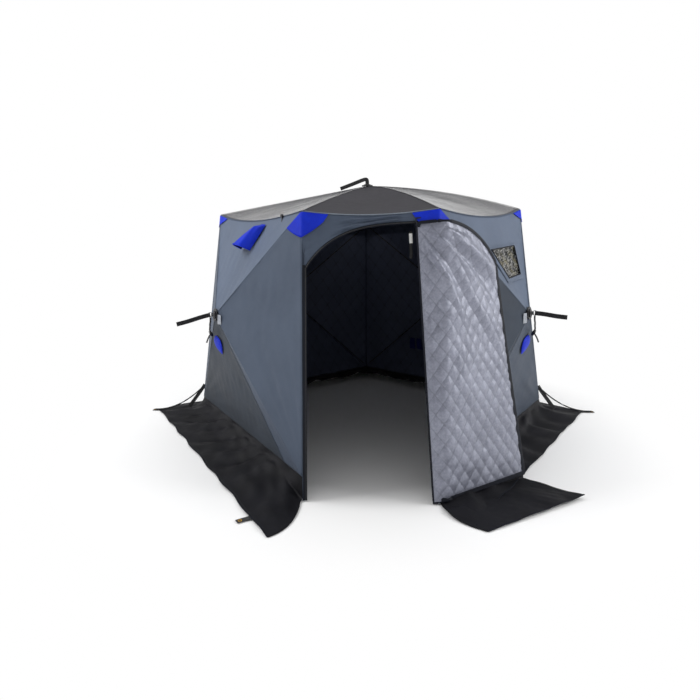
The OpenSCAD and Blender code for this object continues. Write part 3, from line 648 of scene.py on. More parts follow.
def hub_wall(name, i, seed, window=None):
    """The fan of points from the hub to the outline, moved along each panel's normal by its wrinkles.

    window is (low, high, from, to): the shares of the upper panel, out from the hub and across, to cut.
    """
    hub, rim = hub_at(i), wall_outline(i)
    rim = np.r_[rim, rim[:1]]
    r = (HUB_SHARE + (1 - HUB_SHARE) * steps(RINGS + 1))[:, None]
    points = hub + r[..., None] * (rim - hub)
    side = np.minimum(np.arange(len(rim)) // SIDE_STEPS, 3)
    normals = panel_normals(i)
    share = (np.arange(len(rim)) % SIDE_STEPS) / SIDE_STEPS
    uv = wall_uv(i, points)
    width = np.linalg.norm(corner_ground[(i + 1) % 5] - corner_ground[i])
    u, v = uv[..., 0], uv[..., 1]
    held = sin(pi * share)[None] ** 0.6 * sin(pi * np.clip((r - HUB_SHARE) / (1 - HUB_SHARE), 0, 1)) ** 0.7
    wrinkles = 0.0035 * ripple(u, v, 0.55, seed) + 0.0012 * ripple(u, v, 0.16, seed + 1)
    low_size, low_reach, low_waves = 0.006, 1.3, 14
    top_size, top_reach, top_waves = 0.004, 0.8, 12
    pulled = (low_size * crease_fan(u, v, (0, band_h), low_reach, low_waves, seed + 2)
              + low_size * crease_fan(u, v, (width, band_h), low_reach, low_waves, seed + 3)
              + top_size * crease_fan(u, v, (0.15, 1.85), top_reach, top_waves, seed + 4)
              + top_size * crease_fan(u, v, (width - 0.15, 1.85), top_reach, top_waves, seed + 5))
    edge = smooth(1 - r, 0, 0.05)
    moved = (-0.012 * held + (wrinkles + pulled) * (0.25 + 0.75 * held)) * edge
    points = points + normals[side][None] * moved[..., None]
    # Painted light and shade per panel: the upper panel lightest, as lit from above, the lowest darkest. On
    # the right wall the panel beside the door is darker than the one below it, a painted shadow of the door.
    painted_light_tones = np.array([0.26, 0.54, 0.92, 0.08] if i == RIGHT else [0.0, 0.54, 1.0, 0.54])
    tone = painted_light_tones[side[:-1]]
    # The lowest panel stops short of the door's corner.
    near_door = {LEFT: share[:-1] >= 1 - LOW_SHARE, RIGHT: share[:-1] < LOW_SHARE}.get(i, share[:-1] < 0)
    tone = np.where((side[:-1] == 0) & near_door, painted_light_tones[3], tone)
    tone = np.broadcast_to(tone[None], (RINGS, len(rim) - 1))
    keep = np.ones(tone.shape, bool)
    if window:
        over = 1 - ((np.arange(len(rim) - 1) % SIDE_STEPS) + 0.5) / SIDE_STEPS
        out = (r[1:] + r[:-1]) / 2 * (1 - 0.083 * 4 * over * (1 - over))[None]
        inside = (out > window[0]) & (out < window[1]) & (over > window[2]) & (over < window[3])
        keep = ~(inside & (side[:-1] == 2)[None])
    piece = cloth(name + "_cloth", points, uv, wall_out, lining_in, CLOTH_THICK, flip=True,
                  tone=tone, keep=keep)
    dress("wall_fabric", piece, stands_for=name)
    declare_sheet(piece, points, "stretched", uv, rests_on=[name.replace("wall", "poles")])
    return piece


window_low, window_high, window_from, window_to = 0.34, 0.63, 0.24, 0.76
cut = (window_low + 0.008, window_high - 0.008, window_from + 0.008, window_to - 0.008)
walls = [hub_wall(name + "_wall", i, 10 * i + 3, cut if i == RIGHT else None)
         for name, i in HUB_WALLS.items()]
print("walls:", [w.name for w in walls])

# %% [markdown]
# ## Door face
# The fifth wall is flat and almost all of it is the arched opening. The grid runs from the outline in to the
# opening's edge, which is one cubic curve, and the cloth above the arch lies in folds that follow the curve.

# %% The front wall
def on_face(x, z):
    """The door face leans back evenly from its foot to its top."""
    x, z = np.broadcast_arrays(np.asarray(x, float), np.asarray(z, float))
    return np.stack([x, DOOR_Y + DOOR_BACK * z / DOOR_TALL, z], -1)


hinge_low, hinge_high, hinge_top = 0.376, 0.279, 1.690
jamb_x, arch_start, arch_shoulder = -0.398, 1.420, 1.690
strip = 0.010


def arch(t, inset=0.0):
    """Cubic curve a (1-t)³ + 3 b t (1-t)² + 3 c t² (1-t) + d t³ from the hinge's top to the left jamb."""
    t = np.asarray(t, float)[..., None]
    a, b, c, d = np.array([[hinge_high, hinge_top - inset],
                           [hinge_high - 0.230, hinge_top - 0.010 - inset],
                           [jamb_x + 0.165 + 0.7 * inset, arch_shoulder - inset],
                           [jamb_x + inset, arch_start]])
    return a * (1 - t) ** 3 + 3 * b * t * (1 - t) ** 2 + 3 * c * t * t * (1 - t) + d * t ** 3


ARCH_STEPS, JAMB_STEPS, DEEP = 110, 60, 26
t_side, t_arch = steps(JAMB_STEPS), steps(ARCH_STEPS)[1:-1]
arch_xz = arch(steps(ARCH_STEPS))
arch_line = on_face(arch_xz[:, 0] + strip * (1 - steps(ARCH_STEPS)), arch_xz[:, 1])
FOOT_Z = 0.004                  # cloth at the foot of the door face ends this high
outline = np.r_[mix(edge_at(2, FOOT_Z), edge_at(2, 1.768), t_side), eave(FRONT, 1 - t_arch, 0.002),
                mix(edge_at(1, 1.768), edge_at(1, FOOT_Z), t_side)]
opening = np.r_[mix(on_face(hinge_low + strip, FOOT_Z), arch_line[0], t_side), arch_line[1:-1],
                mix(arch_line[-1], on_face(jamb_x, FOOT_Z), t_side)]
r = steps(DEEP)[:, None]
face_points = opening[None] + r[..., None] * (outline - opening)[None]
face_uv = pair(face_points[..., 0] + DOOR_HALF, face_points[..., 2])
face_out = unit(np.array([0, -DOOR_TALL, DOOR_BACK]))
u, v = face_uv[..., 0], face_uv[..., 1]
high = smooth(v, 1.25, 1.6)
hold = sin(pi * r) ** 0.7
folds = high * (0.008 * sin(15 * r + 5.0 * u + 1.2 * ripple(u, v, 0.5, 91)) * hold
                + 0.004 * sin(31 * r - 9.0 * u + ripple(u, v, 0.4, 92)) * hold)
folds += 0.0025 * ripple(u, v, 0.35, 93) * hold + 0.004 * smooth(v, 1.35, 1.7) * ripple(u, v, 0.12, 94) * hold
for c in (1, 2):
    folds = folds * smooth(np.linalg.norm(face_points - corner_top[c], axis=-1), 0.19, 0.30)
face_points = face_points + face_out * folds[..., None]
# Its tone, 0.53, paints a light level between the shaded and the lit slate.
front_wall = cloth("front_wall_cloth", face_points, face_uv, wall_out, lining_in, CLOTH_THICK, flip=True,
                   tone=np.full((DEEP - 1, len(outline) - 1), 0.53))
dress("wall_fabric", front_wall, stands_for="front_wall")
# It is cut as an arched panel with its two narrow jamb strips laid beside it.
declare_sheet(front_wall, face_points, "stretched", flat=(0.84, 0.55))
# A dark strip, in the binding tape's finish, covers the narrow cloth beside the left jamb.
jamb_z, jamb_share = np.linspace(0.008, 1.440, 60), steps(6)[None, :, None]
jamb_a, jamb_b = edge_at(1, jamb_z)[:, None] + [0.004, 0, 0], on_face(jamb_x - 0.002, jamb_z)[:, None]
jamb_points = jamb_a + jamb_share * (jamb_b - jamb_a) + face_out * 0.0045
dark_jamb_strip = cloth("dark_jamb_strip", jamb_points, jamb_points[..., [0, 2]], binding_out, None, 0.0016, flip=True)
dress("binding", dark_jamb_strip)
declare_sheet(dark_jamb_strip, jamb_points, "hung", rests_on=[front_wall])
print("front wall: arch top", round(float(arch_xz[:, 1].max()), 3))

# %% [markdown]
# ## Roof
# The roof is five panels sewn over poles that bow up a little, each by its own amount. Between two ridges
# the cloth is drawn down by a few millimetres, and it ends on the sagging eaves.

# %% The roof
ROOF_STEPS, ROOF_RINGS = 44, 40
ridge_bow = np.array([0.0, 0.013, 0.034, 0.044, 0.016])


def roof_panel(name, i):
    """apex + r (eaves - apex), raised by 4 r (1 - r) times the ridges' bow."""
    t = steps(ROOF_STEPS + 1)
    r = np.linspace(HUB_SHARE, 1, ROOF_RINGS + 1)[:, None]
    points = apex + r[..., None] * (eave(i, t) - apex)
    bow = mix(ridge_bow[i], ridge_bow[(i + 1) % 5], t)
    held = sin(pi * t)[None] ** 0.7 * sin(pi * r) ** 0.6
    u = (t[None] - 0.5) * r * np.linalg.norm(corner_top[(i + 1) % 5] - corner_top[i])
    v = r * np.linalg.norm((corner_top[(i + 1) % 5] + corner_top[i]) / 2 - apex) + 0 * u
    wrinkles = 0.004 * ripple(u, v, 0.6, 40 + i) + 0.0015 * ripple(u, v, 0.2, 50 + i)
    lift = 4 * r * (1 - r) * bow - 0.010 * held + held * wrinkles
    points[..., 2] += lift + 0.0005
    # The front panel's copy of the cloth without sheen is painted shade.
    outside = roof_front_shaded_out if i == FRONT else roof_out
    piece = cloth(name + "_cloth", points, pair(u, v), outside, lining_in, CLOTH_THICK, flip=True)
    dress("roof_fabric", piece, stands_for=name)
    declare_sheet(piece, points, "stretched", pair(u, v), rests_on=["roof_poles"])
    return piece


roofs = [roof_panel(name + "_roof", i) for name, i in SIDES.items()]
print("roof panels:", len(roofs))

# %% [markdown]
# ## Snow skirts
# A black band runs round the foot of the walls and turns out over the ground, where snow is piled on it.
# The section is a line down the band, round the crease and out to the free edge; the flap lies in low waves.

# %% The skirts
SKIRT_THICK, SKIRT_HEM = 0.0022, flat_profile(0.004, 0.010, 10)


def skirt_corner(c, i, w, j, w2):
    """Where the free edges of two sides' skirts meet: w out from side i and w2 out from side j."""
    a, b = side_normal(i), side_normal(j)
    d = a[0] * b[1] - a[1] * b[0]
    return corner_ground[c] + [(w * b[1] - w2 * a[1]) / d, (a[0] * w2 - b[0] * w) / d, 0]


LEFT_WIDE, RIGHT_WIDE, RIGHT_END_WIDE, BACK_WIDE = 0.350, 0.290, 0.270, 0.320
left_back = skirt_corner(0, LEFT, LEFT_WIDE, BACK_LEFT, BACK_WIDE)
right_back = skirt_corner(3, RIGHT, RIGHT_WIDE, BACK_RIGHT, BACK_WIDE)
back_tip = skirt_corner(4, BACK_RIGHT, BACK_WIDE, BACK_LEFT, BACK_WIDE)
left_front = corner_ground[1] + side_normal(LEFT) * LEFT_WIDE + side_dir(LEFT) * 0.268
left_tab = left_front - side_dir(LEFT) * 0.235
right_front = corner_ground[2] + side_normal(RIGHT) * RIGHT_END_WIDE - side_dir(RIGHT) * 0.120


def skirt(name, i, first, second, seed):
    """Rows follow (1-p)² head + 2p(1-p) crease + p² edge, down the wall and out over the ground.

    Columns go along the side; first and second are where the free edge starts and ends.
    """
    cols, rows = 130, 40
    t, p = steps(cols), steps(rows)[:, None]
    head = across_wall(i, band_h + 0.004, t)
    crease = across_wall(i, FOOT_Z, t)
    out = mix(first, second, t) + [0, 0, 0.003]
    q = p[..., None]
    points = (1 - q) ** 2 * head + 2 * q * (1 - q) * crease + q ** 2 * out
    # At a door corner the end is sewn down the corner to the ground.
    bend = 0.3
    below = crease + (q - bend) / (1 - bend) * (out - crease)
    sharp = np.where(q < bend, head + q / bend * (crease - head), below)
    sewn = smooth(t, 0.86, 1.0) if i == LEFT else 1 - smooth(t, 0.0, 0.14) if i == RIGHT else 0 * t
    points = points + (sharp - points) * 0.9 * sewn[None, :, None]
    u = t[None] * np.linalg.norm(corner_ground[(i + 1) % 5] - corner_ground[i]) + 0 * p
    v = p * (band_h + np.linalg.norm(out - crease, axis=1).mean()) + 0 * t[None]
    ends = smooth(t, 0, 0.06) * (1 - smooth(t, 0.94, 1))
    # Broad folds run down and out at a slant, and fade at the head; the free edge still waves a little.
    fold_tall, fold_long, beat_long = 0.034, 0.31, 0.83
    along = 2 * pi * (u + 0.55 * v + 0.05 * ripple(u, v, 0.8, seed + 4))
    fold = 0.5 + 0.5 * sin(along / fold_long + seed) * sin(along / beat_long + 2 * seed)
    body = smooth(p, 0.05, 0.35) * (1 - 0.65 * smooth(p, 0.75, 1.0))
    points[..., 2] += ends * body * (fold_tall * fold + 0.0025 * (1 + ripple(u, v, 0.17, seed + 1))) + 0.0015
    belly = ends * sin(pi * np.minimum(1, 1.6 * p)) * 0.010 * ripple(u, v, 0.3, seed + 2)
    points += side_normal(i) * belly[..., None]
    wander = 0.006 * ripple(u, v, 0.35, seed + 3) * smooth(p, 0.6, 1.0) * ends
    points[..., :2] += side_normal(i)[:2] * wander[..., None]
    if i == LEFT:
        blunt = 0.070 * smooth(t, 0.90, 1.0) * sin(pi * np.clip((p - 0.35) / 0.66, 0, 1)) ** 0.8
        points += side_dir(i) * blunt[..., None]
    uv = pair(u, v)
    piece = cloth(name + "_cloth", points, uv, skirt_out, skirt_out, SKIRT_THICK, flip=True)
    edge = sweep(name + "_hem", points[-1] + [0, 0, 0.001], SKIRT_HEM, UP, binding_out)
    dress("skirt_fabric", piece, edge, stands_for=name)
    declare_sheet(piece, points, "laid", uv, rests_on=[name.replace("skirt", "wall")], with_pieces=[edge])
    return piece


skirts = [skirt("left_skirt", LEFT, left_back, left_front, 61),
          skirt("right_skirt", RIGHT, right_front, right_back, 65),
          skirt("back_right_skirt", BACK_RIGHT, right_back, back_tip, 69),
          skirt("back_left_skirt", BACK_LEFT, back_tip, left_back, 73)]
print("skirts:", len(skirts))

# %% [markdown]
# ## The door
# The door hangs from the cord beside the opening and is folded back round the hut's corner. Its cloth is
# worked out from two lengths: s away from the hinge and h along it. Up to the corner it lies flat, then it
# turns through an arc, and then it runs on straight. The lining that faces the viewer is quilted, so each
# diamond stands proud of its stitch lines, and folds fan out of the top of the hinge where it hangs.

# %% The door's own coordinates
lean = np.arctan2(DOOR_BACK, DOOR_TALL)
slant = np.arctan2(hinge_low - hinge_high, hinge_top / cos(lean))
out_dir = np.array([0, -cos(lean), sin(lean)])
hinge_foot = on_face(hinge_low, 0.0) + out_dir * 0.014
hinge_up = unit(on_face(hinge_high, hinge_top) - on_face(hinge_low, 0.0))
hinge_across, hinge_in = np.cross(hinge_up, out_dir), -out_dir
hinge_l = float(np.linalg.norm(on_face(hinge_high, hinge_top) - on_face(hinge_low, 0.0)))


def turn_to(v):
    return np.arctan2(v[1], v[0])


FOLD_R = 0.070                  # the door bends round the hut's corner by this radius
fold_low = turn_to(hub_at(RIGHT) - edge_at(2, hub_h)) - np.radians(8.8)
fold_high = fold_low + np.radians(12.0)


def door_at(s, h, off):
    """Place of the cloth s from the hinge and h along it: flat, then round an arc, then straight on."""
    s, h, off = np.broadcast_arrays(s, h, off)
    flat = mix(DOOR_HALF - hinge_low, DOOR_HALF - hinge_high, h / hinge_l) + 0.014
    angle = mix(fold_low, fold_high, h / hinge_l)
    turn = np.clip((s - flat) / FOLD_R, 0, angle)
    past = np.maximum(s - flat - FOLD_R * angle, 0)
    x = np.minimum(s, flat) + FOLD_R * sin(turn) + past * cos(turn)
    y = FOLD_R * (1 - cos(turn)) + past * sin(turn)
    return (hinge_foot + hinge_up * h[..., None] + hinge_across * (x - sin(turn) * off)[..., None]
            + hinge_in * (y + cos(turn) * off)[..., None])


def from_hinge(x, z):
    """The (s, h) of a point of the closed door at x and z on the door face."""
    dx, w = x - hinge_low, z / cos(lean)
    return -(dx * cos(slant) + w * sin(slant)), w * cos(slant) - dx * sin(slant)


DOOR_ROWS, DOOR_COLS = 236, 112
k = steps(DOOR_ROWS)
jamb_share = 14 / 26
free_arch = arch(1 - 0.97 * (k - jamb_share) / (1 - jamb_share), 0.008)
free_x = np.where(k <= jamb_share, jamb_x + 0.008, free_arch[:, 0])
free_z = np.where(k <= jamb_share, mix(0.016, arch_start - 0.010, k / jamb_share), free_arch[:, 1])
free_s, free_h = from_hinge(free_x, free_z)
near_h = mix(from_hinge(hinge_low, 0.016)[1], hinge_l - 0.034, k)
c = steps(DOOR_COLS)
door_s = 0.006 * (1 - c)[None] + c[None] * free_s[:, None]
door_h = (1 - c)[None] * near_h[:, None] + c[None] * free_h[:, None]

# Folds: waves over the angle round the top of the hinge, one deep fold, and creases low down.
du, dv = door_s, (hinge_l - 0.02) - door_h
far, angle = np.hypot(du, dv), np.arctan2(du, dv)
fan = smooth(far, 0.02, 0.25) * (1 - smooth(far, 0.55, 1.25))
drape = 0.018 * fan * sin(angle * 15 + 0.6 + 2.5 * far) + 0.008 * fan * sin(angle * 27 + 2.0 - far)
aside = (angle - 1.17 + 0.27 * far) * far
reach = smooth(far, 0.08, 0.30) * (1 - smooth(far, 0.72, 1.0))
deep = (np.exp(-(aside / 0.050) ** 2) - 0.55 * np.exp(-(aside / 0.110) ** 2)) * reach
low_phase = 22 * door_h + 5 * door_s + 1.3 * ripple(door_s, door_h, 0.4, 7)
low_waves = 0.006 * smooth(0.62 - door_h, 0, 0.35) * sin(low_phase)
drape = drape - 0.050 * deep + low_waves + 0.004 * ripple(door_s, door_h, 0.35, 8)
border = np.minimum.reduce(np.broadcast_arrays(c[None] * free_s[:, None], (1 - c)[None] * free_s[:, None],
                                               k[:, None] * 1.7, (1 - k[:, None]) * 1.7))
# The wall is close behind, so the cloth gives way towards the viewer more than back.
drape = (np.where(drape < 0, 0.45 * drape, drape) + 0.004) * smooth(border, 0, 0.10)
quilt_a, quilt_b = pi * QUILT_WIDE / QUILT_PITCH * door_s, pi * QUILT_TALL / QUILT_PITCH * door_h
puff = (abs(sin(quilt_a + quilt_b)) * abs(sin(quilt_a - quilt_b))) ** 0.5
puff = puff * smooth(border, 0.008, 0.03) * (1 - 0.55 * smooth(door_h, 1.05, 1.5))
crumple = ripple(door_s, door_h, 0.045, 21) * 0.0006
door_uv = pair(door_s, door_h)
HALF_THICK, QUILT_DEEP = 0.0035, 0.0085
lining_points = door_at(door_s, door_h, -HALF_THICK - drape - QUILT_DEEP * puff - crumple)
lining = cloth("door_lining", lining_points, door_uv, silver_in, None, 0)
# The outer face's tone, 0.42, paints a light level between the shaded and the lit slate.
outer = cloth("door_outer_cloth", door_at(door_s, door_h, HALF_THICK - drape), door_uv, wall_out, None, 0,
              flip=True, tone=np.full((DOOR_ROWS - 1, DOOR_COLS - 1), 0.42))
print("door:", round(float(free_s.max()), 3), "m wide,", round(float(free_h.max()), 3), "m high")

# %% Door edge, and what carries the door
edge_s = np.r_[door_s[0, 6::4], door_s[1:, -1], door_s[-1, -2:4:-4]]
edge_h = np.r_[door_h[0, 6::4], door_h[1:, -1], door_h[-1, -2:4:-4]]
edge_line = resample(door_at(edge_s, edge_h, 0.0), 260)
binding = sweep("door_binding", edge_line, round_profile(0.0075, 10) * [1, 1.25], UP, binding_out)
inset_s = edge_s - 0.016 * (edge_s > 0.1)
inset_h = edge_h + 0.012 * (np.arange(len(edge_s)) < len(door_s[0, 6::4]))
tape_line = resample(door_at(inset_s, inset_h, -0.0085), 240)
side_line = resample(door_at(inset_s - 0.01, inset_h, -0.0085), 240)
tape = sweep("door_zip_tape", tape_line, flat_profile(0.020, 0.0018, 12), side_line - tape_line, binding_out)
sleeve_h = np.linspace(0.020, hinge_l - 0.032, 60)
sleeve_line = hinge_foot + hinge_up * sleeve_h[:, None]
sleeve = sweep("door_sleeve", sleeve_line, round_profile(0.0058, 14), out_dir, binding_out)
dress("silver_quilt", lining, body="door", stands_for="door_panel")
dress("wall_fabric", outer, body="door")
dress("binding", binding, tape, sleeve, body="door")
flat_door = door_at(door_s, door_h, 0.0)
declare_sheet(lining, flat_door, "hung", door_uv, rests_on=[sleeve], with_pieces=[binding, tape])
declare_sheet(outer, flat_door, "hung", door_uv, rests_on=[sleeve])

# %% The door's own skirt
FLAP_FROM, FLAP_Z = 0.042, 0.0100       # where the skirt starts along the door, and how high it lies
FLAP_OUT, RISER = 0.365, 0.05           # the flap's width, and the strip that joins it to the door
skirt_s = np.linspace(FLAP_FROM, float(free_s[0]) - 0.002, 90)
skirt_h = mix(float(near_h[0]), float(free_h[0]), skirt_s / float(free_s[0]))
main = unit((door_at(0.760, 0.030, 0.0) - door_at(FLAP_FROM, 0.030, 0.0)) * [1, 1, 0])
main_out = np.array([main[1], -main[0], 0])
flap_start = door_at(FLAP_FROM, 0.020, 0.0)
flap_edge = flap_start + main * mix(0.020, 0.815, steps(90))[:, None] + main_out * FLAP_OUT
flap_edge[:, 2] = FLAP_Z
riser_top = door_at(skirt_s, skirt_h + 0.020, 0.0062)
riser_foot = door_at(skirt_s, skirt_h - 0.006, 0.0058)
riser_foot[:, 2] = FLAP_Z
rise, run = steps(6)[:-1, None, None], steps(34)[:, None, None]
flap = np.r_[riser_top + rise * (riser_foot - riser_top), riser_foot + run * (flap_edge - riser_foot)]
fu = np.linspace(0, 0.85, 90)[None] + 0 * flap[..., 0]
fv = np.r_[rise[:, 0] * RISER, RISER + run[:, 0] * FLAP_OUT] + 0 * flap[..., 0]
waves = 0.006 + 0.006 * ripple(fu, fv * 0.5, 0.34, 33) + 0.0008 * ripple(fu, fv, 0.10, 34)
flap[..., 2] += smooth(fv, 0.09, 0.16) * waves
# The end by the hinge bows out, and the free corners curl up a little.
bow = 0.055 * (1 - smooth(fu, 0.0, 0.16)) * sin(pi * np.clip((fv - RISER) / FLAP_OUT, 0, 1))
flap = flap - main * bow[..., None]
flap[..., 2] += 0.012 * smooth(fv, 0.30, RISER + FLAP_OUT) * smooth(fu, 0.70, 0.85)
door_skirt = cloth("door_skirt_cloth", flap, pair(fu, fv), skirt_out, skirt_out, SKIRT_THICK, flip=True)
door_hem = sweep("door_skirt_hem", flap[-1], SKIRT_HEM, UP, binding_out)
dress("skirt_fabric", door_skirt, door_hem, body="door", stands_for="door_skirt")
declare_sheet(door_skirt, flap, "laid", pair(fu, fv), rests_on=[outer], with_pieces=[door_hem])
for part in (door_skirt, door_hem):
    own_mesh(part)
print("door skirt rides on the door")

# %% [markdown]
# ## Corner caps, vent and window
# Blue patches guard the five top corners, where poles press. A blue hood covers the vent in the left wall.
# The window is a crinkled clear film behind a rim of cloth.

# %% Corner caps
CAP_ROWS, CAP_COLS = 16, 24
CAP_OFF, DOOR_CAP_OFF, CAP_THICK = 0.0065, 0.0095, 0.0018
CAP_REACH, DOOR_CAP_REACH = 0.26, 0.165     # along the eaves from the corner
CAP_DROP, DOOR_CAP_DROP = 0.110, 0.160      # down the corner


def on_wall(i, points, off):
    """Points moved out along the side's normal to lie off the tight wall, the lowest of its four planes."""
    if i == FRONT:
        return points - (points - corner_ground[1]) @ face_out[:, None] * face_out + face_out * off
    hub, way = hub_at(i), side_normal(i)
    planes = panel_normals(i)
    shift = ((hub - points) @ planes.T / (planes @ way)).min(-1)
    return points + (shift + off)[..., None] * way


def cap_half(i, c, tip, end, low_point):
    """One side of a cap: rows run from its upper edge, corner to tip, down to the hem, low point to end."""
    across, down = steps(CAP_COLS), steps(CAP_ROWS)[:, None, None]
    head = edge_at(c, corner_top[c][2] - 0.005)
    bulge = (0.006 * sin(pi * across))[:, None] * [0, 0, -1.0]
    upper, lower = mix(head, tip, across), mix(low_point, end, across) + bulge
    return on_wall(i, upper + down * (lower - upper), DOOR_CAP_OFF if i == FRONT else CAP_OFF)


def cap(name, c):
    """A patch bent round the corner. Its outer tip lies on the eaves, or on a seam beside the door."""
    before, by_door = (c - 1) % 5, c in (1, 2)
    low_point = edge_at(c, corner_top[c][2] - (DOOR_CAP_DROP if by_door else CAP_DROP))
    halves = []
    for i, last in ((before, True), (c, False)):
        length = np.linalg.norm(corner_top[(i + 1) % 5] - corner_top[i])
        share = (DOOR_CAP_REACH if i == FRONT else CAP_REACH) / length
        tip = eave(i, 1 - share if last else share, 0.006)
        if i != FRONT and by_door:
            tip = mix(corner_top[c], hub_at(i), 0.135)
        end = tip - [0, 0, 0.004]
        if i == FRONT:
            end = tip - [0, 0, 0.045] + side_dir(i) * (0.030 if last else -0.030)
        half = cap_half(i, c, tip, end, low_point)
        halves.append(half[:, ::-1] if last else half[:, 1:])
    grid = np.concatenate(halves, 1)
    out = unit(side_normal(before) + side_normal(c))
    ridge = CAP_COLS - 1
    grid[:, ridge] = edge_at(c, grid[:, ridge, 2]) + out * 0.0085
    uv = pair(np.linspace(-0.17, 0.17, grid.shape[1]), grid[..., 2])
    piece = cloth(name + "_cloth", grid, uv, blue_out, blue_out, CAP_THICK, flip=True)
    hem_line = resample(grid[-1], 90) + out * 0.0012
    stitch = sweep(name + "_stitch", hem_line, round_profile(0.0016, 6), out, blue_out)
    dress("blue_fabric", piece, stitch, stands_for=name)
    declare_sheet(piece, grid, "stretched", with_pieces=[stitch])
    return piece


CORNERS = ["left", "front_left", "front_right", "right", "back"]
caps = [cap(name + "_corner_cap", c) for c, name in enumerate(CORNERS)]
print("caps:", len(caps))

# %% Vent hood
def panel_frame(i, u, v, lower=False):
    """A point of a hub wall's upper or lower panel: u out from the hub, v across from corner to corner."""
    hub = hub_at(i)
    if lower:
        a, b = edge_at(i, band_h), edge_at(i + 1, band_h)
    else:
        a, b = edge_at(i, corner_top[i][2] - 0.0053), edge_at(i + 1, corner_top[(i + 1) % 5][2] - 0.0053)
    return hub + np.asarray(u, float)[..., None] * (mix(a, b, np.asarray(v, float)) - hub)


vent_normal = panel_normals(LEFT)[ABOVE]
vent_mouth = panel_frame(LEFT, 0.65, 0.62)
VENT_LONG, VENT_WIDE, VENT_NARROW = 0.255, 0.100, 0.045     # length, and its radius at mouth and tip
VENT_OFF, VENT_COLS, VENT_ROWS = 0.004, 64, 44
vent_tip = vent_mouth + unit(panel_frame(LEFT, 0.885, 0.70) - vent_mouth) * VENT_LONG
vent_side = unit(panel_frame(LEFT, 1, 0) - panel_frame(LEFT, 1, 1))
a, l = np.linspace(0, pi, VENT_COLS)[None], steps(VENT_ROWS)[:, None]
radius = mix(VENT_WIDE, VENT_NARROW, l) + 0 * a
# A fold lies along the hood on the door's side of its crest; the cloth is flatter down to its seams.
crest = sin(a) ** 1.15 * (1 - 0.30 * np.exp(-((a - 0.95) / 0.22) ** 2) * smooth(l, 0.0, 0.35))
height = radius * crest * (1 - 0.75 * smooth(l, 0.80, 1.0)) + 0.0025 * sin(9 * a + 5 * l) * sin(a)
hood_points = (mix(vent_mouth, vent_tip, l) + vent_side * (cos(a) * radius)[..., None]
               + vent_normal * (height + VENT_OFF)[..., None])
hood = cloth("vent_hood_cloth", hood_points, pair(a * 0.08, l * VENT_LONG), blue_out, binding_out, 0.002)
lip = sweep("vent_lip", hood_points[0], round_profile(0.0045, 8), vent_tip - vent_mouth, blue_out)
closed = np.stack([hood_points[-1], mix(vent_tip + vent_normal * VENT_OFF, hood_points[-1], 0.02)])
hood_end = cloth("vent_end", closed, np.zeros((2, VENT_COLS, 2)), blue_out, binding_out, 0.002)
hood = join("vent_hood_cloth", [hood, hood_end])
inner = vent_mouth + (vent_tip - vent_mouth) * 0.12 + vent_normal * VENT_OFF
screen_points = inner + np.linspace(0.02, 0.97, 8)[:, None, None] * (hood_points[5] - inner)[None]
screen_uv = np.zeros((8, VENT_COLS, 2)) + np.linspace(0, 0.1, VENT_COLS)[None, :, None]
screen = cloth("vent_screen", screen_points, screen_uv, binding_out, None, 0)
dress("blue_fabric", hood, lip, screen, stands_for="vent_hood")
declare_sheet(hood, hood_points, "stretched", with_pieces=[lip])
declare_sheet(screen, screen_points, "stretched")
print("vent hood:", round(float(np.linalg.norm(vent_tip - vent_mouth)), 3), "m long")

# %% Window
window_n = panel_normals(RIGHT)[ABOVE]
corners = np.array([panel_frame(RIGHT, *uv) for uv in ((window_low, window_from), (window_low, window_to),
                                                       (window_high, window_to), (window_high, window_from))])
centre = corners.mean(0)


def window_grid(out, count):
    """The window's outline moved out from its middle, filled as a bilinear grid."""
    ring = corners + unit(corners - centre) * out * 1.4
    t = steps(count)
    share = t[:, None, None]
    return mix(ring[0], ring[1], t)[None] * (1 - share) + mix(ring[3], ring[2], t)[None] * share


film_finish = Finish("clear_film", Base_Color=(*srgb(96, 92, 66), 1), Roughness=0.08, Specular_IOR_Level=0.7)
film_cloud = film_finish.noise(11.0, 5.0, roughness=0.55)
film_fine = film_finish.noise(34.0, 3.0, roughness=0.5)
# Painted light: the clear film's colour is near black for the dark inside behind it, and golden for
# highlights.
painted_glint_mask = (film_cloud * 0.65 + film_fine * 0.35).between(0.47, 0.66)
film_finish.set("Base Color", film_finish.blend(painted_glint_mask, srgb(8, 9, 7), srgb(96, 90, 60)))
film_finish.set("Roughness", painted_glint_mask * 0.2 + 0.06)
film_finish.set("Alpha", 0.92)
film_finish.set("Normal", film_finish.bump(film_cloud, 0.9, 0.03, film_finish.bump(film_fine, 0.6, 0.006)))
n = 90
film_points = window_grid(0.0, n)
u, v = np.meshgrid(np.linspace(0, 0.42, n), np.linspace(0, 0.34, n))
crinkle = 0.002 * ripple(u, v, 0.10, 5) + 0.0012 * ripple(u, v, 0.035, 6) - 0.001
film_points = film_points + window_n * crinkle[..., None]
film = cloth("window_film_sheet", film_points, pair(u, v), film_finish, None, 0)
ring_in, ring_out = window_grid(-0.011, 40), window_grid(0.030, 40)


def border_line(grid):
    return np.r_[grid[0, :-1], grid[:-1, -1], grid[-1, :0:-1], grid[:, 0][::-1]]


rim_rows = np.stack([border_line(g) for g in (ring_in, ring_in * 0.55 + ring_out * 0.45, ring_out)])
rim_rows += window_n * np.array([0.0035, 0.0050, 0.0020])[:, None, None]
around = rim_rows.shape[1]
rim_uv = pair(np.linspace(0, 1.6, around), np.array([0, 0.02, 0.04])[:, None])
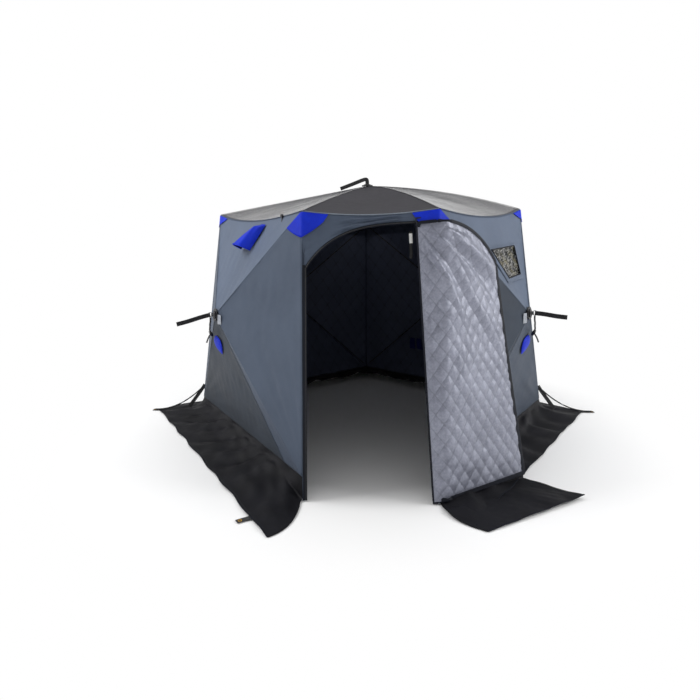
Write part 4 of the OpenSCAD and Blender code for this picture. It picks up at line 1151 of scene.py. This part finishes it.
# The rim's tone, 0.8, paints it nearly as light as the lit slate.
frame_piece = cloth("window_rim", rim_rows, rim_uv, wall_out, None, 0, tone=np.full((2, around - 1), 0.8))
welt_line = resample(border_line(ring_in) + window_n * 0.004, 200)
welt = sweep("window_welt", welt_line, round_profile(0.0050, 8), window_n, binding_out)
dress("window_film", film, stands_for="window_film")
dress("binding", frame_piece, welt, stands_for="window_frame")
declare_sheet(film, film_points, "stretched", rests_on=[frame_piece])
declare_sheet(frame_piece, rim_rows, "stretched", with_pieces=[welt])
print("window:", np.round(np.ptp(corners, axis=0), 3))

# %% [markdown]
# ## Seams and hems
# A cord of the same cloth is sewn into each corner's edge and along the eaves, and a flat felled seam covers
# each pole from the hub to the wall's corners. They catch the light, and their cloths carry painted light and
# shade like the panels, so the panels read as separate cloths.

# %% Seams
# Painted light and shade: the seam cloths follow the panels' painted tones, darker for the lower seams.
seam_cloth = woven("seam_cloth", ((72, 83, 99), (80, 91, 108)), sheen=0.05, wrinkle=0.1)
shaded_seam_cloth = woven("shaded_seam_cloth", ((54, 62, 74), (60, 69, 82)), sheen=0.05, wrinkle=0.1)
# Painted highlight: the front eaves' hem is paler than the wall cloth, as a lit edge.
hem_highlight_cloth = woven("painted_highlight_hem", ((112, 121, 132), (124, 133, 144)), sheen=0.05, wrinkle=0.1)
PIPING = round_profile(0.0028, 8)
for c, name in enumerate(CORNERS):
    heights = np.linspace(band_h + 0.006, corner_top[c][2] - 0.01, 80)
    outwards = unit(side_normal((c - 1) % 5) + side_normal(c))
    corner_line = edge_at(c, heights) + outwards * 0.0005
    piping = sweep(name + "_corner_piping", corner_line, PIPING, outwards, seam_cloth)
    dress("wall_fabric", piping)
    ridge_r = np.linspace(0.035, 0.995, 60)
    ridge = apex + ridge_r[:, None] * (corner_top[c] - apex)
    ridge[:, 2] += 4 * ridge_r * (1 - ridge_r) * ridge_bow[c]
    ridge_seam = sweep(name + "_ridge_seam", ridge + [0, 0, 0.0008], flat_profile(0.012, 0.0022, 10),
                       np.cross(corner_top[c] - apex, UP), roof_out)
    dress("roof_fabric", ridge_seam)
for name, i in SIDES.items():
    line = eave(i, np.linspace(0.004, 0.996, 90), -0.001) + side_normal(i) * 0.0015
    # The front eaves take the paler hem, a painted highlight.
    profile, finish = (round_profile(0.0035, 8), hem_highlight_cloth) if i == FRONT else (PIPING, seam_cloth)
    hem = sweep(name + "_eave_piping", line, profile, side_normal(i), finish)
    dress("wall_fabric", hem)
    if i == FRONT:
        continue
    hub = hub_at(i)
    ends = wall_corners(i)
    if i == LEFT:
        ends[1] = across_wall(i, band_h, 1 - LOW_SHARE)
    if i == RIGHT:
        ends[0] = across_wall(i, band_h, LOW_SHARE)
    for k, corner in enumerate(ends):
        seam_r = np.linspace(0.035, 0.985, 60)
        path = hub + seam_r[:, None] * (corner - hub)
        # The two lower seams take the darker cloth, painted shade.
        seam = sweep(f"{name}_seam_{k}", path + side_normal(i) * 0.0003, flat_profile(0.007, 0.0014, 10),
                     np.cross(corner - hub, side_normal(i)), shaded_seam_cloth if k < 2 else seam_cloth)
        dress("wall_fabric", seam)
print("seams done")

# %% [markdown]
# ## Zip along the opening
# The opening's edge carries the other half of the door's zip on a black tape.

# %% Opening zip
line = np.r_[mix(on_face(hinge_low + strip, 0.006), arch_line[0], steps(60))[:-1], arch_line[:-1],
             mix(arch_line[-1], on_face(jamb_x, 0.006), steps(60))]
zip_line = resample(line, 320)
zip_tape = sweep("opening_zip_tape", zip_line + face_out * 0.002, flat_profile(0.016, 0.0022, 12),
                 np.gradient(zip_line, axis=0)[:, [2, 1, 0]] * [-1, 1, 1], binding_out)
bead_line = zip_line + face_out * 0.0025
zip_bead = sweep("opening_zip_bead", bead_line, round_profile(0.0032, 8), face_out, hub_plastic)
dress("binding", zip_tape, zip_bead)
print("zip:", round(float(run_of(zip_line)[-1]), 2), "m")

# %% [markdown]
# ## Hubs, straps and ropes
# Each wall hub is pulled out by a webbing strap on a steel ring. A thin braided rope hangs from the ring to a
# plastic adjuster, beside a leaf-shaped pocket that stows it. At the standing corners a short strap hangs by
# the seam, and a stay runs out to the skirt's grommet tab.

# %% Hub hardware
def wall_lean_out(i):
    """The hub's axis: square to the side and to the middle of the wall's lean."""
    return unit(np.cross(corner_ground[(i + 1) % 5] - corner_ground[i], wall_lean(i)))


def strap_of(name, line, wide, thick, across, finish=black_web, sides=12):
    """A strap along a line: wide goes across it."""
    return sweep(name, line, flat_profile(wide, thick, sides), across, finish)


def round_angles(count):
    return np.linspace(0, 2 * pi, count, endpoint=False)


RING_STEPS, WIRE_STEPS = 36, 10
BLOCK_COLS, BLOCK_ROWS = 28, 15


def ring(name, centre, normal, radius, wire, finish):
    """A torus: a circle of wire carried round a circle."""
    normal = unit(normal)
    side = unit(np.cross(normal, [0.0, 0.1, 1.0]))
    up = np.cross(normal, side)
    a, b = round_angles(RING_STEPS)[:, None], round_angles(WIRE_STEPS)[None]
    reach = radius + wire * cos(b)
    points = (centre + side * (cos(a) * reach)[..., None] + up * (sin(a) * reach)[..., None]
              + normal * (wire * sin(b) + 0 * a)[..., None])
    index = np.arange(RING_STEPS * WIRE_STEPS).reshape(RING_STEPS, WIRE_STEPS)
    index = np.r_[index, index[:1]]
    index = np.c_[index, index[:, :1]]
    quads = np.stack([index[:-1, :-1], index[1:, :-1], index[1:, 1:], index[:-1, 1:]], -1)
    return add_piece(name, points.reshape(-1, 3), quads.reshape(-1, 4).tolist(),
                     np.zeros((RING_STEPS * WIRE_STEPS, 2)), [finish])


def block(name, centre, frame_axes, size, finish):
    """A moulded block: a superellipsoid shell of size, |x|^5 + |y|^5 + |z|^5 = 1."""
    a, b = round_angles(BLOCK_COLS)[None], np.linspace(-pi / 2, pi / 2, BLOCK_ROWS)[:, None]
    p = np.stack([cos(b) * cos(a), cos(b) * sin(a), sin(b) + 0 * a], -1)
    p = p / (np.abs(p) ** 5).sum(-1, keepdims=True) ** 0.2
    points = centre + (p * np.array(size) / 2) @ np.array(frame_axes)
    return add_piece(name, points.reshape(-1, 3), grid_faces(BLOCK_ROWS, BLOCK_COLS, wrap=True),
                     np.zeros((BLOCK_ROWS * BLOCK_COLS, 2)), [finish])


def mirrored(i):
    return i in (RIGHT, BACK_RIGHT)


def leaf(name, i):
    """A pocket: rows run from top to bottom between two bowed edges, crowned by sin(pi x) between them."""
    marks = [(0.19, 0.22), (0.28, 0.16), (0.345, 0.44), (0.225, 0.50)]
    top, outer, bottom, inner = (panel_frame(i, out, 1 - over if mirrored(i) else over, lower=True)
                                 for out, over in marks)
    t, w = steps(30)[:, None], steps(22)[None]

    def bowed(side):
        return (1 - t) ** 2 * top + 2 * t * (1 - t) * (side * 1.7 - (top + bottom) * 0.35) + t ** 2 * bottom

    first, second = bowed(outer), bowed(inner)
    points = first[:, None] + w[..., None] * (second - first)[:, None]
    crown = 0.016 * sin(pi * w) ** 0.6 * sin(pi * t) ** 0.5 + 0.002
    points = points + panel_normals(i)[BELOW] * crown[..., None]
    piece = cloth(name, points, pair(w * 0.15, t * 0.16), blue_out, binding_out, CAP_THICK,
                  flip=not mirrored(i))
    declare_sheet(piece, points, "stretched")
    return piece, top


PULL_STRAP, ROPE_R = flat_profile(0.0032, 0.032, 16), 0.0060
RING_R, RING_WIRE = 0.0165, 0.0026
PATCH_WIDE, PATCH_TALL, PATCH_OFF = 0.048, 0.072, 0.0075
for name, i in HUB_WALLS.items():
    axis, level, across = wall_lean_out(i), side_normal(i), side_dir(i)
    outside = hub_at(i) + axis * 0.0165
    ring_at = outside + axis * 0.020
    fall, reach = (np.radians(5), 0.205) if i == RIGHT else (np.radians(12), 0.245)
    strap_dir = level * cos(fall) - np.array([0, 0, sin(fall)])
    # The strap is sewn round the ring and stands out nearly straight.
    t = steps(50)
    line = ring_at + strap_dir * (0.012 + t * reach)[:, None] + (0.0012 * sin(7 * t))[:, None] * UP
    strap = sweep(name + "_strap_web", line, PULL_STRAP, across, black_web)
    turn = np.linspace(0.5 * pi, 1.5 * pi, 16)[:, None]
    wrap = ring_at + strap_dir * (0.030 + 0.030 * cos(turn)) + across * 0.006 * sin(turn)
    sewn = sweep(name + "_strap_loop", wrap, flat_profile(0.030, 0.0026, 12)[:, ::-1], across, black_web)
    lug_line = np.linspace(outside - axis * 0.004, ring_at - axis * 0.008, 8)
    lug = strap_of(name + "_hub_lug", lug_line, 0.0040, 0.026, across)
    steel_ring = ring(name + "_ring", ring_at, across, RING_R, RING_WIRE, steel)
    # The rope hangs from the ring with a few kinks, and goes through its adjuster into the pocket's mouth.
    pocket, mouth = leaf(name + "_pocket", i)
    end = mouth + panel_normals(i)[BELOW] * 0.036 + [0, 0, 0.030]
    start = ring_at - [0, 0, 0.0205]
    sway = across * (-1 if mirrored(i) else 1)
    rope_line = curve_through([start, start - [0, 0, 0.030],
                               mix(start, end, 0.42) + level * 0.010 + sway * 0.010,
                               mix(start, end, 0.60) + level * 0.004 - sway * 0.008,
                               mix(start, end, 0.85) + level * 0.012, end], 40)
    rope = sweep(name + "_rope", rope_line, round_profile(ROPE_R), level, rope_web)
    down = unit(rope_line[-1] - rope_line[-5])
    side = unit(np.cross(down, level))
    middle, turned = end + down * 0.012 + level * 0.006, [side, np.cross(side, down), down]
    adjuster = block(name + "_adjuster", middle, turned, (0.032, 0.020, 0.050), hub_plastic)
    tail_line = curve_through([end + level * 0.010 - [0, 0, 0.015], end + level * 0.026 - [0, 0, 0.040],
                               end + level * 0.040 - [0, 0, 0.075]], 16)
    tail = strap_of(name + "_adjuster_tab", tail_line, 0.020, 0.0070, across)
    # A small reflective patch is sewn on beside the hub, on the panel nearer the door.
    door_side = i if mirrored(i) else i + 1
    toward = unit(edge_at(door_side, hub_h) - hub_at(i))
    pu, pv = np.meshgrid((steps(8) - 0.5) * PATCH_WIDE, (steps(10) - 0.5) * PATCH_TALL)
    patch_points = hub_at(i) + toward * (0.066 + pu)[..., None] + UP * (pv - 0.030)[..., None]
    patch_n = unit(np.cross(toward, UP))
    inward = bool(patch_n @ level < 0)
    patch = cloth(name + "_patch", patch_points + patch_n * (-PATCH_OFF if inward else PATCH_OFF),
                  pair(pu, pv), patch_gray, None, 0.0012, flip=inward)
    declare_sheet(patch, patch_points, "stretched")
    dress("webbing", strap, sewn, lug, rope, tail, stands_for=name + "_pull_strap")
    dress("hub_plastic", steel_ring, adjuster)
    dress("blue_fabric", pocket, stands_for="rope_pockets" if i == LEFT else None)
    dress("binding", patch)

# %% Roof strap, corner straps and stays
top_marks = [(0, 2.083), (0, 2.118), (-0.004, 2.139), (-0.03, 2.137), (-0.12, 2.103), (-0.236, 2.062)]
top_line = curve_through([[x, apex[1], z] for x, z in top_marks], 60)
top_strap = sweep("roof_strap_web", top_line, PULL_STRAP, [0, 1.0, 0], black_web)
dress("webbing", top_strap, stands_for="roof_strap")

tabs = {0: (left_back, [-1, 0, 0], 0.062), 3: (right_back, [1, 0, 0], 0.108), 4: (back_tip, [0, 1, 0], 0.049),
        1: (left_tab, side_normal(LEFT), 0.090)}
for c, (tip, away, reach) in tabs.items():
    away, tip = unit(away), np.array(tip)
    side = np.cross(UP, away)
    eye_at = tip + away * (reach - 0.022) + [0, 0, 0.0062]
    t = steps(30)
    tab_line = tip + away * mix(-0.030, reach, t)[:, None] + UP * (0.0046 + 0.0012 * sin(3 * t))[:, None]
    tab = strap_of(f"tab_{c}", tab_line, 0.044, 0.0022, side, sides=16)
    rim = ring(f"grommet_{c}", eye_at, UP, 0.0095, 0.0032, brass)
    dress("webbing", tab, rim, stands_for="grommet_tabs" if c == 0 else None)
    if c == 1:
        continue
    out = unit((tip - corner_ground[c]) * [1, 1, 0])
    head = edge_at(c, 0.270) + out * 0.004
    hang = curve_through([head + out * far - [0, 0, fall]
                          for far, fall in ((0, 0), (0.020, 0.030), (0.100, 0.135), (0.170, 0.222))], 40)
    short = strap_of(f"corner_strap_{c}", hang, 0.034, 0.0034, out, sides=16)
    # The stay falls steeply from the corner and then runs low over the flap: its height is (1 - t)².
    t = steps(50)
    stay_line = mix(head, eye_at, t)
    stay_line[:, 2] = mix(eye_at[2] + 0.004, head[2], (1 - t) ** 2)
    stay = sweep(f"corner_stay_{c}", stay_line, round_profile(ROPE_R), side, rope_web)
    hook_line = mix(stay_line[40], eye_at + away * 0.012 + [0, 0, 0.004], steps(12))
    hooked = strap_of(f"stay_end_{c}", hook_line, 0.018, 0.0050, side)
    slide = unit(stay_line[24] - stay_line[21])
    buckle = block(f"stay_buckle_{c}", stay_line[22], [slide, unit(np.cross(UP, slide)), UP],
                   (0.040, 0.018, 0.014), steel)
    dress("webbing", short, stay, hooked, buckle)

# A short toggle loop hangs from the left eaves near the door.
loop_top = eave(LEFT, np.array(0.85), 0.0) + side_normal(LEFT) * 0.010
loop_line = curve_through([loop_top + [0, 0, 0.006], loop_top - [0, 0, 0.015],
                           loop_top + side_normal(LEFT) * 0.006 - [0, 0, 0.055]], 20)
toggle_loop = strap_of("eave_loop", loop_line, 0.014, 0.003, side_dir(LEFT))
toggle = block("eave_toggle", loop_top + [0, 0, 0.004], [side_dir(LEFT), side_normal(LEFT), UP],
               (0.026, 0.016, 0.020), hub_plastic)
dress("webbing", toggle_loop, toggle)
print("straps and stays done")

# %% Inside: a tag and a tie by the door's hinge, and two wall pockets
inside_top = on_face(hinge_high - 0.030, 1.640) - face_out * 0.030
tie_line = curve_through([inside_top, inside_top - [0, 0, 0.06], inside_top - [-0.006, 0, 0.130],
                          inside_top - [-0.004, 0, 0.165]], 24)
tag_line = mix(inside_top - [0, 0, 0.012], inside_top - [-0.004, 0, 0.072], steps(10))
tag_tie = strap_of("inside_tie", tie_line, 0.018, 0.003, [1.0, 0, 0])
tag = strap_of("inside_tag", tag_line - [0, 0.003, 0], 0.020, 0.0012, [1.0, 0, 0], tag_white)
dress("webbing", tag_tie, tag)
for k, over in enumerate((0.750, 0.820)):
    u, v = np.meshgrid(steps(12), steps(12))
    depth = 0.036 + 0.004 * sin(pi * u) * sin(pi * v)
    pocket_points = (panel_frame(BACK_RIGHT, 0.560 + 0.125 * v, over + 0.050 * u - 0.075 * v, lower=True)
                     - panel_normals(BACK_RIGHT)[BELOW] * depth[..., None])
    inside_pocket = cloth(f"inside_pocket_{k}", pocket_points, pair(u * 0.08, v * 0.09), inner_blue, None,
                          0.002, flip=True)
    declare_sheet(inside_pocket, pocket_points, "stretched")
    dress("blue_fabric", inside_pocket)
print("inside: a tag, a tie and two pockets")

# %% Finishes for the CAD pieces that stay
cord_cloth = moulded("hinge_cord_cloth", srgb(16, 20, 32), 0.7, 900.0, 0.0003)
for node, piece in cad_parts.items():
    finish = pole_glass if node.endswith("_poles") else cord_cloth if node == "hinge_cord" else hub_plastic
    piece.data.materials.clear()
    piece.data.materials.append(finish.material)
print("kept nodes:", [n for n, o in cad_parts.items() if not o.hide_render])

# %% Finish: print each sheet's sizes
for sheet in sheets:
    print("sheet: %s, %.3f x %.3f m, %.4f m2, %s" % sheet)
